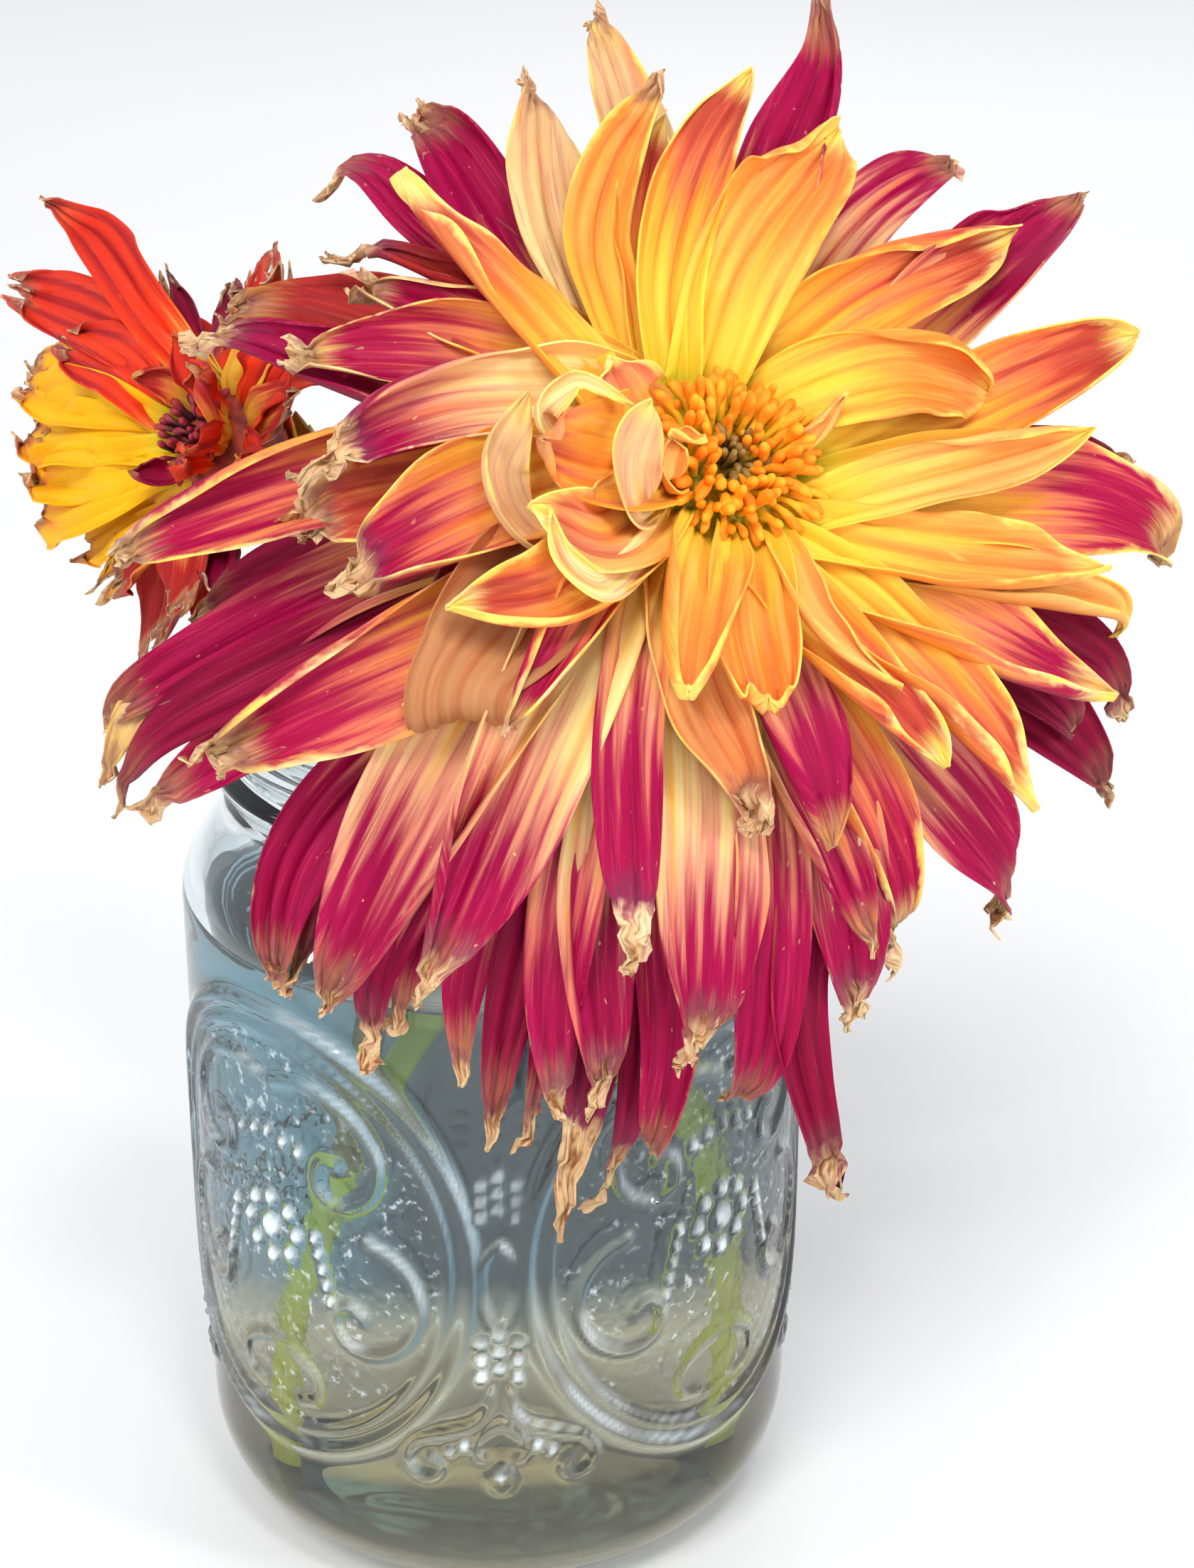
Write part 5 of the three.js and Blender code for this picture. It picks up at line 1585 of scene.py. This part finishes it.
@dataclass
class Jar:
    """The glass jar with a traditional ornament of ovals, scrolls and beads.

    The ornament is set out on a quarter of the wall, by the arc from the middle of a
    column of beads and by the height, and mirrored on both sides of each column.

    Attributes:
        radius: Radius of the wall.
        taper: How much narrower the wall is at its foot.
        wall: Thickness of the glass.
        floor: Height of the inside's floor.
        base: Radius at which the heel starts to turn up.
        push_up: Radius and height of the hollow under the base.
        shoulder: Height at which the wall ends, and how tall the shoulder is.
        shoulder_in: How far the shoulder draws in.
        neck: Radius of the neck.
        ring: Height, half height and depth of the ring under the thread.
        thread_top: Height at which the thread starts.
        pitch: How far the thread falls in a turn.
        thread_turns: How many turns it takes.
        thread_proud: How far it stands out.
        columns: Columns of the mesh round the jar.
    """

    radius: float = 40.5
    taper: float = 0.6
    wall: float = 3.0
    floor: float = 5.0
    base: float = 23.0
    push_up: tuple[float, float] = (17.5, 0.7)
    shoulder: tuple[float, float] = (92.0, 14.5)
    shoulder_in: float = 6.1
    neck: float = 34.0
    ring: tuple[float, float, float] = (110.5, 1.5, 1.7)
    thread_top: float = 121.4
    pitch: float = 4.4
    thread_turns: float = 1.45
    thread_proud: float = 1.3
    columns: int = 512
    oval_arc: float = 31.8
    oval_height: float = 56.0
    oval_wide: float = 28.4
    oval_tall: float = 32.0
    ridges: Sequence[Ridge] = (
        Ridge([(0, 60.6), (1.7, 58.4), (2.2, 55.2), (1.9, 51.5), (1.0, 48.6)], 0.6, 0.5),
        Ridge([
            (1.3, 38.9), (1.4, 36.4), (3.2, 33.7), (7.4, 32.0), (11.2, 30.6),
            (12.6, 27.8), (11.2, 25.1), (8.9, 24.9), (8.0, 26.8), (9.2, 27.9),
        ]),
        Ridge([(0.2, 33.8), (1.9, 32.6), (3.3, 30.6), (3.0, 28.4), (1.6, 27.8)], 0.5, 0.5),
        Ridge([(0, 26.6), (1.6, 25.2), (0.9, 23.2), (0, 22.8)], 0.5, 0.45),
        Ridge([
            (16.8, 59.0), (13.2, 57.2), (10.6, 53.4), (10.2, 48.6), (12.6, 44.2),
            (16.8, 42.2), (20.6, 43.4), (21.8, 46.6), (19.8, 48.9), (17.6, 47.6),
        ], 0.7, 0.7),
        Ridge([
            (31.0, 78.4), (25.4, 79.6), (19.0, 77.0), (15.2, 71.6), (16.0, 66.0),
            (20.2, 63.4), (23.6, 65.2), (23.2, 68.8), (20.6, 69.4),
        ], 0.7, 0.7),
        Ridge([(31.8, 39.6), (28.2, 38.6), (25.0, 35.8), (25.4, 32.4), (28.2, 31.4)], 0.55, 0.55),
    )
    beads: Sequence[Bead] = (
        *(Bead(0, z, 1.1) for z in (47.2, 44.7, 42.2)),
        *(Bead(2.35, z, 1.1) for z in (45.9, 43.4, 40.9)),
        *(Bead(0, z, 1.0, 0.55) for z in (70.2, 67.9, 65.6)),
        *(Bead(2.2, z, 1.0, 0.55) for z in (69.0, 66.7, 64.4)),
        Bead(4.7, 30.0, 0.9),
        Bead(6.6, 29.0, 0.8),
        Bead(0, 25.0, 0.8),
        *(Bead(24.5 - 0.55 * k, 57.5 - 2.2 * k, 0.85) for k in range(5)),
        *(
            Bead(31.8 - 4.3 * math.sin(a), 56.5 + 4.3 * math.cos(a), 1.15)
            for a in (0.0, 0.785, 1.571, 2.356, 3.142)
        ),
        Bead(31.8, 56.5, 2.0, 0.9),
        *(Bead(31.8 - 2.6 * k, 70.5 - 0.6 * k, 0.8) for k in range(3)),
    )

    def profile(self) -> tuple[Array, int]:
        """The jar's outline.

        Returns:
            Radius and height of each ring from the base's middle round to the floor's
            middle, and the number of rings that lie outside.
        """
        heel = self.radius - self.taper - self.base
        hollow, high = self.push_up
        wall_top, shoulder_tall = self.shoulder
        ring_middle, ring_half, ring_proud = self.ring
        rings = [(r, high * max(0.0, 1 - (r / hollow) ** 2)) for r in (0, 6, 12, hollow, hollow + 3)]
        for angle in np.linspace(-90, 0, 13):
            a = math.radians(angle)
            rings.append((self.base + heel * math.cos(a), heel + heel * math.sin(a)))
        for z in np.linspace(20, wall_top, 97):
            rings.append((self.radius - self.taper * (1 - rise(z, 17, 37)), z))
        for t in np.linspace(0, 1, 15)[1:]:
            drawn = self.shoulder_in * rise(t, 0, 1) ** 1.15
            rings.append((self.radius - drawn, wall_top + shoulder_tall * t))
        for z in np.arange(107.0, 126.2, 0.6):
            bead = ring_proud * math.exp(-(((z - ring_middle) / ring_half) ** 4))
            rings.append((self.neck + bead, z))
        rings += [(33.7, 126.5), (33.2, 126.9), (32.6, 127.0)]
        outside = len(rings)
        mouth = self.neck - self.wall
        rings += [(31.8, 126.9), (31.3, 126.4), (mouth, 125.2), (mouth, 115), (mouth, 106)]
        inner = self.radius - self.wall
        for t in np.linspace(0, 1, 8)[1:]:
            rings.append((mouth + (inner - mouth) * rise(t, 0, 1), 105 - 13 * t))
        rings += [(inner, z) for z in (80, 65, 50, 37)]
        bowl = heel - self.wall - self.taper
        for angle in np.linspace(0, -90, 10):
            a = math.radians(angle)
            reach = self.base + bowl * math.cos(a) + 0.5 * (angle > -1)
            rings.append((reach, self.floor + bowl + bowl * math.sin(a)))
        rings += [(14, 5.05), (6, 5.2), (0, 5.3)]
        return np.array(rings), outside

    def ornament(self, turns: Array, heights: Array) -> tuple[Array, Array, Array]:
        """The ornament's relief.

        Args:
            turns: The angle of each column.
            heights: The height of each ring.

        Returns:
            How far each point stands out (mm), how pebbled its ground is, and the painted highlights on the beads'
            upper parts.
        """
        quarter = (turns + math.pi / 4) % (math.pi / 2) - math.pi / 4
        arc = np.abs(quarter) * self.radius
        arc, z = np.broadcast_arrays(arc[None, :], heights[:, None])
        a, b = (arc - self.oval_arc) / self.oval_wide, (z - self.oval_height) / self.oval_tall
        shape = np.sqrt(a * a + b * b) + 1e-6
        slope = np.sqrt((a / self.oval_wide) ** 2 + (b / self.oval_tall) ** 2) / shape
        away = (shape - 1) / np.maximum(slope, 1e-6)
        relief = 0.85 * np.exp(-((away / 1.1) ** 2)) + 0.55 * np.exp(-(((away + 2.9) / 0.75) ** 2))
        pebbled = rise(-away, 3.4, 4.6)
        for ridge in self.ridges:
            line = Rib([vec(p[0], p[1], 0) for p in ridge.points])
            points = line.at(np.linspace(0, 1, max(12, int(line.length / 0.35))))
            nearest = np.full(arc.shape, 1e9)
            for point in points:
                nearest = np.minimum(nearest, (arc - point[0]) ** 2 + (z - point[1]) ** 2)
            relief = np.maximum(relief, ridge.proud * np.exp(-nearest / ridge.half**2))
            pebbled = pebbled * rise(np.sqrt(nearest), 0.6, 1.6)
        # Painted highlights: the upper part of each bead that stands out far enough.
        painted_bead_glints = np.zeros(arc.shape)
        for bead in self.beads:
            away = ((arc - bead.arc) ** 2 + (z - bead.height) ** 2) / bead.radius**2
            relief = np.maximum(relief, bead.proud * np.sqrt(np.clip(1 - away, 0, 1)))
            away = ((arc - bead.arc) ** 2 + (z - bead.height - 0.3 * bead.radius) ** 2) / bead.radius**2
            painted_bead_glints = np.maximum(painted_bead_glints, rise(1 - away, 0.35, 0.8) * rise(bead.proud, 0.5, 0.62))
        return relief, pebbled, painted_bead_glints

    def thread(self, turns: Array, heights: Array) -> Array:
        """The screw thread's relief: a ridge that climbs round the neck."""
        whole = 2 * math.pi * self.thread_turns
        relief = np.zeros((len(heights), len(turns)))
        for turn in range(3):
            walked = (turns + math.pi * 0.8) % (2 * math.pi) + 2 * math.pi * turn
            ends = rise(walked, 0, 0.35) * rise(whole - walked, 0, 0.35)
            away = heights[:, None] - (self.thread_top - self.pitch * walked / (2 * math.pi))
            relief += self.thread_proud * ends * np.exp(-((away / 0.95) ** 4))
        return relief

    def build(self, glass: Material) -> None:
        """Makes and dresses the jar."""
        profile, outside = self.profile()
        turns = np.linspace(0, 2 * math.pi, self.columns + 1)
        relief, pebbled, painted_bead_glints = self.ornament(turns, profile[:, 1])
        relief = relief + self.thread(turns, profile[:, 1])
        outer = (np.arange(len(profile)) < outside)[:, None] & (profile[:, 1] > 8)[:, None]
        relief = np.where(outer, relief, 0.0)
        piece = Bench.rolled("jar_glass", profile, turns, relief)
        x, y, z = (Bench.corners(piece) / MM).T
        column = np.rint((np.arctan2(x, -y) % (2 * math.pi)) / (2 * math.pi) * self.columns).astype(int)
        across_wall = np.abs(profile[:, 0] - np.hypot(x, y)[:, None]) > 2.2
        ring = np.argmin(np.abs(profile[:, 1] - z[:, None]) + 9.0 * across_wall, axis=1)
        # Painted highlights: slopes that face up and to the right, softened over their neighbours, and the beads'
        # tops, whitened by the glass material.
        up = -np.gradient(relief, axis=0) / np.maximum(np.gradient(profile[:, 1]), 0.3)[:, None]
        right = -np.gradient(relief, axis=1) / (self.radius * (turns[1] - turns[0]))
        lit = rise(0.8 * up + 0.5 * right, 0.2, 0.5)
        beside = (np.roll(lit, step, axis) for axis in (0, 1) for step in (1, -1))
        lit = np.maximum(sum(beside, 4 * lit) / 8, 1.5 * painted_bead_glints)
        for name, pattern in (("pebbled", pebbled), ("lit", lit)):
            amount = np.where((ring < outside) & (z > 12), pattern[ring, column], 0.0)
            Bench.attribute(piece, name, amount[:, None])
        Bench.smooth(piece, 60)
        Bench.dress(piece, "glass", glass)
        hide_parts("jar")


@dataclass
class Water:
    """The water in the jar, filled to just under the shoulder."""

    jar: Jar
    level: float = 91.0
    overlap: float = 0.12
    columns: int = 160

    def build(self, water: Material) -> None:
        """Makes and dresses the water."""
        jar = self.jar
        profile, outside = jar.profile()
        inner = profile[outside:]
        inner = inner[inner[:, 1] < self.level - 0.5]
        wall = jar.radius - jar.wall + self.overlap
        shell = [(r + self.overlap * min(1.0, r / 20), z - self.overlap * (r < 30)) for r, z in inner]
        edge = ((0, 0), (20, 0), (33, 0), (35.6, 0.12), (36.8, 0.5), (wall, 1.1))
        top = [(r, self.level + high) for r, high in edge]
        rings = np.array([*top, (wall, 88.0), (wall, 84.0), *shell])
        turns = np.linspace(0, 2 * math.pi, self.columns + 1)
        piece = Bench.rolled("water_body", rings, turns, np.zeros((len(rings), len(turns))))
        Bench.smooth(piece, 60)
        Bench.dress(piece, "water", water)
        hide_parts("water")


# ---- finishes


@dataclass(frozen=True)
class FloretFinish:
    """Orange clubs, yellow-green at the foot."""

    foot: Colour = (0.66, 0.58, 0.02)
    body: Colour = (0.97, 0.52, 0.02)
    end: Colour = (0.97, 0.25, 0.005)
    lumps: Colour = (1.0, 0.48, 0.02)
    specks: Colour = (0.80, 0.13, 0.004)

    def material(self) -> Material:
        """The material of the open florets."""
        g = Graph("floret_orange")
        share = g.split("share")[0]
        speck = g.noise(g.place(), 900.0, 3.0)
        lump = g.noise(g.place(), 260.0, 2.0)
        colour = g.lay(self.foot, self.body, share, 0.05, 0.4)
        colour = g.lay(colour, self.end, share, 0.45, 0.8)
        colour = g.lay(colour, self.lumps, lump, 0.45, 0.65, 0.7)
        colour = g.lay(colour, self.specks, speck, 0.55, 0.75, 0.35)
        g.bump(speck, 0.5, 0.0003)
        return g.finish(colour, 0.6, Subsurface_Weight=0.25, Subsurface_Scale=0.0015, Specular_IOR_Level=0.3)


@dataclass(frozen=True)
class BudFinish:
    """Closed buds, darker at the foot."""

    low: Colour
    high: Colour

    def material(self) -> Material:
        """The material of the closed florets."""
        g = Graph("bud")
        share = g.split("share")[0]
        speck = g.noise(g.place(), 700.0, 3.0)
        colour = g.lay(self.low, self.high, share, 0.3, 0.95)
        colour = g.lay(colour, self.low, speck, 0.5, 0.7, 0.5)
        g.bump(speck, 0.6, 0.0003)
        return g.finish(colour, 0.6)


@dataclass(frozen=True)
class MottledFinish:
    """A rough finish that one pattern of lumps carries between two colours.

    Attributes:
        name: The material's name.
        low: The colour of the hollows.
        high: The colour of the lumps.
        noise: Scale, detail and roughness of the pattern.
        steps: The pattern's values at which the two colours are reached.
        bump: Strength and height (metres) of the lumps.
        rough: The surface's roughness.
        others: Further sockets of the shader.
    """

    name: str
    low: Colour
    high: Colour
    noise: tuple[float, ...] = (420.0, 3.0)
    steps: tuple[float, float] = (0.35, 0.65)
    bump: tuple[float, float] = (0.8, 0.0006)
    rough: float = 0.65
    others: tuple[tuple[str, float], ...] = (("Subsurface_Weight", 0.1), ("Subsurface_Scale", 0.002))

    def material(self) -> Material:
        """The material."""
        g = Graph(self.name)
        lump = g.noise(g.place(), *self.noise)
        colour = g.mix(g.step(lump, *self.steps), self.low, self.high)
        g.bump(lump, *self.bump)
        return g.finish(colour, self.rough, **dict(self.others))


FRONT_CORE = MottledFinish("core_green", (0.42, 0.42, 0.02), (0.80, 0.52, 0.02))
REAR_CORE = MottledFinish("core_red", (0.16, 0.012, 0.01), (0.42, 0.05, 0.015))
SHOOT = MottledFinish(
    "shoot_brown", (0.24, 0.13, 0.035), (0.40, 0.34, 0.07),
    (160.0, 4.0, 0.6), (0.35, 0.7), (0.5, 0.0005), 0.6, (),
)
PAPERY = MottledFinish(
    "scale_papery", (0.34, 0.33, 0.08), (0.52, 0.42, 0.16),
    (220.0, 3.0, 0.6), (0.35, 0.65), (0.4, 0.0003), 0.55,
    (("Subsurface_Weight", 0.2), ("Subsurface_Scale", 0.001)),
)


@dataclass(frozen=True)
class StemFinish:
    """Fresh green stems with fine lengthwise streaks, yellower and brighter low down, partly as painted light under
    the water.
    """

    low: Colour = (0.86, 0.96, 0.03)
    high: Colour = (0.28, 0.42, 0.04)
    streaks: Colour = (0.75, 0.86, 0.12)
    patches: Colour = (0.34, 0.46, 0.03)

    def material(self) -> Material:
        """The material of the stems and the bracts."""
        g = Graph("stem_green")
        place = g.node("ShaderNodeMapping", vector_type="POINT")
        g.put(place.inputs["Vector"], g.place())
        place.inputs["Scale"].default_value = (1.0, 1.0, 0.08)
        streak = g.noise(place.outputs[0], 1500.0, 3.0)
        patch = g.noise(g.place(), 90.0, 3.0)
        _, _, z = g.parts(g.place())
        # Yellower and brighter low down: partly the stem's own colour, partly painted light that makes up for what
        # the tinted water takes.
        colour = g.lay(self.low, self.high, z, 0.05, 0.12)
        colour = g.lay(colour, self.streaks, streak, 0.45, 0.7, 0.5)
        colour = g.lay(colour, self.patches, patch, 0.5, 0.75, 0.4)
        g.bump(streak, 0.4, 0.0003)
        return g.finish(colour, 0.42, Subsurface_Weight=0.15, Subsurface_Scale=0.002)


@dataclass(frozen=True)
class GlassFinish:
    """Clear pressed glass, faintly blue-grey, with a pebbled ground in the ovals and painted highlights.

    Attributes:
        clear: The colour of the glass.
        painted_highlight_colour: The colour of the painted highlights on its ridges, beads and pebbles.
    """

    clear: Colour = (0.85, 0.92, 0.93)
    painted_highlight_colour: Colour = (0.84, 0.95, 1.0)

    def material(self) -> Material:
        """The material of the jar."""
        g = Graph("glass_pressed")
        pebbled = g.split("pebbled")[0]
        cells = g.node("ShaderNodeTexVoronoi", feature="SMOOTH_F1")
        g.put(cells.inputs["Vector"], g.place())
        cells.inputs["Scale"].default_value = 680.0
        lit = g.split("lit")[0]
        ripple = g.noise(g.place(), 45.0, 2.0)
        patch = g.noise(g.place(), 95.0, 2.0)
        lumps = g.product(pebbled, g.less(1.0, cells.outputs["Distance"]), 0.25)
        g.bump(g.plus(lumps, g.product(ripple, 0.5)), 0.6, 0.0004)
        # Painted highlights: specks on the pebbled ground, the lit ridges and the bead tops are whitened and made
        # less clear, standing in for glints.
        painted_glint_noise = g.noise(g.place(), 760.0, 3.0, 0.6)
        painted_specks = g.product(g.step(painted_glint_noise, 0.55, 0.7), pebbled, g.step(patch, 0.34, 0.6), 0.6)
        painted_ridge_highlights = g.product(lit, g.plus(0.25, g.product(g.step(patch, 0.3, 0.6), 0.5)))
        painted_highlights = g.math("MAXIMUM", painted_specks, painted_ridge_highlights)
        colour = g.mix(painted_highlights, self.clear, self.painted_highlight_colour)
        clear = g.less(1.0, g.product(painted_highlights, 0.7))
        return g.finish(colour, 0.015, Transmission_Weight=clear, IOR=1.5)


@dataclass(frozen=True)
class WaterFinish:
    """Still water, slate grey above and straw coloured below: painted shade and painted reflections of the
    surroundings, not the water's own colour.

    The far and the near wall have their own colours, with others at the left, in the lower half and at the foot: a
    nearly black far wall as painted shade, and blue and straw colours as painted reflections. The depth and its
    density colour the water within.
    """

    far: Colour = (0.008, 0.012, 0.014)
    far_left_painted_reflection: Colour = (0.09, 0.26, 0.36)
    far_foot_painted_reflection: Colour = (1.0, 0.80, 0.48)
    near: Colour = (0.50, 0.59, 0.64)
    near_left_painted_reflection: Colour = (0.68, 0.92, 1.0)
    near_low_painted_reflection: Colour = (1.0, 0.86, 0.64)
    near_foot_painted_reflection: Colour = (1.0, 0.88, 0.58)
    surface: Colour = (0.80, 0.86, 0.88)
    depth: Colour = (0.70, 0.73, 0.73)
    density: float = 10.0

    def material(self) -> Material:
        """The material of the water."""
        g = Graph("water_still")
        x, y, z = g.parts(g.place())
        # Painted shade and painted reflections: the far wall nearly black, blue at the left, straw low down and at
        # the foot, the near wall slate grey; the top is left nearly clear.
        left = g.step(x, -0.005, -0.021)
        far = g.mix(left, self.far, self.far_left_painted_reflection)
        far = g.lay(far, self.far_foot_painted_reflection, z, 0.021, 0.008)
        near = g.mix(left, self.near, self.near_left_painted_reflection)
        near = g.lay(near, self.near_low_painted_reflection, z, 0.053, 0.042)
        near = g.lay(near, self.near_foot_painted_reflection, z, 0.014, 0.009)
        colour = g.lay(near, far, y, -0.026, 0.022)
        colour = g.lay(colour, self.surface, z, 0.0895, 0.0905)
        depth = g.node("ShaderNodeVolumeAbsorption")
        g.put(depth.inputs["Color"], self.depth)
        depth.inputs["Density"].default_value = self.density
        g.put(g.tree.nodes["Material Output"].inputs["Volume"], depth.outputs[0])
        # The foot is made a little less clear, so that its painted straw colour shows.
        clear = g.less(1.0, g.product(g.step(z, 0.012, 0.007), 0.3))
        return g.finish(colour, 0.0, Transmission_Weight=clear, IOR=1.33)


# ---- studio


def lamp_toward(kind: str, name: str, place: Vector, target: Vector) -> Piece:
    """Adds a lamp of a kind at a place, turned toward a target."""
    Bench.clear()
    bpy.ops.object.light_add(type=kind, location=place)
    lamp = bpy.context.active_object
    lamp.name = name
    lamp.rotation_euler = (target - place).to_track_quat("-Z", "Y").to_euler()
    return lamp


@dataclass(frozen=True)
class Softbox:
    """A soft lamp: where it stands, what it points at, its size and its power."""

    name: str
    place: tuple[float, float, float]
    target: tuple[float, float, float]
    size: float
    watts: float
    colour: Colour = (1.0, 1.0, 1.0)

    def build(self) -> None:
        """Adds the lamp."""
        lamp = lamp_toward("AREA", self.name, Vector(self.place), Vector(self.target))
        lamp.data.size = self.size
        lamp.data.energy = self.watts
        lamp.data.color = self.colour


@dataclass(frozen=True)
class Skylight:
    """A wide, even light from one direction that falls alike on the whole floor."""

    place: tuple[float, float, float] = (-0.28, -0.8, 1.0)
    strength: float = 1.3
    spread: float = 20.0

    def build(self) -> None:
        """Adds the lamp."""
        lamp = lamp_toward("SUN", "skylight", Vector(self.place), Vector((0, 0, 0)))
        lamp.data.energy = self.strength
        lamp.data.angle = math.radians(self.spread)


@dataclass
class Studio:
    """A pale floor, soft lamps, an even surround and the camera."""

    lens: float = 72.62
    eye: tuple[float, float, float] = (0.0, -0.374123, 0.276)
    yaw: float = 2.116
    dip: float = 24.568
    lamps: Sequence[Softbox] = (
        Softbox("overhead", (0.12, -0.55, 0.85), (0.0, 0.0, 0.08), 0.12, 2.0),
        Softbox("fill", (0.75, -0.5, 0.5), (0.0, 0.0, 0.1), 0.14, 2.2, (0.95, 0.97, 1.0)),
        Softbox("back", (0.2, 0.9, 0.7), (0.0, 0.0, 0.12), 0.6, 1.5),
        Softbox("strip", (-0.75, -0.25, 0.35), (0.0, 0.0, 0.07), 0.12, 1.3),
        Softbox("low_left", (-0.7, -0.95, 0.38), (0.0, 0.0, 0.08), 0.09, 1.2),
        Softbox("low_middle", (0.22, -1.15, 0.34), (0.0, 0.0, 0.08), 0.09, 1.2),
        Softbox("low_right", (0.95, -0.6, 0.36), (0.0, 0.0, 0.08), 0.09, 1.4),
    )

    def build(self) -> None:
        """Adds the floor, the surround, the lamps and the camera."""
        Bench.clear()
        bpy.ops.mesh.primitive_plane_add(size=40.0, location=(0, 0, 0))
        floor = bpy.context.active_object
        floor.name = "floor"
        g = Graph("floor_pale")
        grain = g.noise(g.place(), 3.0, 2.0)
        floor.data.materials.append(
            g.finish(g.mix(grain, (0.80, 0.80, 0.80), (0.84, 0.84, 0.83)), 0.7)
        )
        world = bpy.data.worlds.new("surround")
        bpy.context.scene.world = world
        world.use_nodes = True
        ground = world.node_tree.nodes["Background"]
        ground.inputs["Color"].default_value = (0.93, 0.95, 1.0, 1.0)
        ground.inputs["Strength"].default_value = 0.66
        Skylight().build()
        for lamp in self.lamps:
            lamp.build()
        self._camera()
        bpy.context.scene.view_settings.view_transform = "Standard"

    def _camera(self) -> None:
        """Adds the camera."""
        Bench.clear()
        bpy.ops.object.camera_add(
            location=self.eye, rotation=(math.radians(90 - self.dip), 0, math.radians(-self.yaw))
        )
        camera = bpy.context.active_object
        camera.data.lens = self.lens
        camera.data.sensor_width = 36.0
        camera.data.clip_start = 0.01
        bpy.context.scene.camera = camera


# ---- assembly

CRUMPLE_SEED = 7
STEM_FOOT = 5.65
FRONT_ROUTE = [
    vec(-22, -2, STEM_FOOT),
    vec(-20.5, 0, 28),
    vec(-13, 2, 58),
    vec(-1, 3, 90),
    vec(12, 0, 115),
]
SHOOT_ROUTE = [vec(-14.4, 1.8, 53.5), vec(-12.5, -1.5, 72), vec(-9.5, -4, 98)]
REAR_ROUTE = [
    vec(21.5, 2, STEM_FOOT),
    vec(21, 6, 35),
    vec(15, 11, 68),
    vec(5, 13, 98),
    vec(-5, 13, 119),
    vec(-13, 22, 130),
]
FRONT_RINGS = (
    Ring(7.5, 30, 4.3, 36, 0.66),
    Ring(6.7, 30, 4.9, 24, 0.74),
    Ring(5.8, 28, 5.2, 15, 0.78),
    Ring(4.8, 24, 5.1, 9, 0.78),
    Ring(3.8, 19, 4.6, 4, 0.72),
    Ring(2.6, 15, 3.5, 0, 0.56),
    Ring(1.7, 11, 3.2, -4, 0.54),
    Ring(0.8, 6, 3.0, 0, 0.52),
)
REAR_RINGS = (
    Ring(4.4, 17, 3.2, 16, 0.62),
    Ring(3.2, 13, 3.4, 8, 0.62),
    Ring(2.1, 9, 3.0, 0, 0.58),
    Ring(1.0, 5, 2.6, -8, 0.5),
)


def build_shoot(material: Material) -> None:
    """The side shoot that forks off the front stem under water."""
    rib = Rib(SHOOT_ROUTE)
    share = np.linspace(0, 1, 30)
    piece = Bench.rod("front_dahlia_shoot", rib.at(share), 1.7 - 0.25 * share, 14)
    Bench.smooth(piece)
    Bench.dress(piece, "stem_green", material)


def main() -> None:
    """Builds every piece in order."""
    logging.basicConfig(level=logging.INFO, format="%(name)s: %(message)s")
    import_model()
    noise.seed_set(CRUMPLE_SEED)
    finish = PetalFinish()
    Bloom(
        FRONT,
        "front_dahlia_petals",
        "petal_orange",
        {
            "front_petals_upper": [*UPPER_RIGHT, *UPPER_LEFT],
            "front_petals_left": LEFT,
            "front_petals_lower": LOWER_RIGHT,
            "front_petals_hanging": HANGING,
            "front_petals_inner": BY_THE_DISC,
            "front_petals_hidden": [petal.placed(FRONT) for petal in HIDDEN],
        },
    ).build(finish)
    Bloom(
        REAR,
        "rear_dahlia_petals",
        "petal_red",
        {
            "rear_petals_fan": REAR_FAN,
            "rear_petals_round": [petal.placed(REAR) for petal in REAR_ROUND],
        },
        seed=41,
    ).build(finish)
    Core(FRONT, "front_core", "petal_orange").build(FRONT_CORE.material())
    Core(REAR, "rear_core", "petal_red").build(REAR_CORE.material())
    Florets(FRONT, "front_dahlia_florets", "floret_orange", 2.2, FRONT_RINGS, 3).build(
        FloretFinish().material(), BudFinish((0.08, 0.035, 0.01), (0.30, 0.17, 0.03)).material()
    )
    dark = BudFinish((0.06, 0.003, 0.012), (0.34, 0.02, 0.03)).material()
    Florets(REAR, "rear_dahlia_heart", "heart_maroon", 1.8, REAR_RINGS, 4).build(dark, dark)
    green, papery = StemFinish().material(), PAPERY.material()
    Stem(FRONT, "front_dahlia_stem", FRONT_ROUTE, 7, 21).build(green, papery)
    Stem(REAR, "rear_dahlia_stem", REAR_ROUTE, 6, 22).build(green, papery)
    build_shoot(SHOOT.material())
    jar = Jar()
    jar.build(GlassFinish().material())
    Water(jar).build(WaterFinish().material())
    Studio().build()


if __name__ == "__main__":
    main()
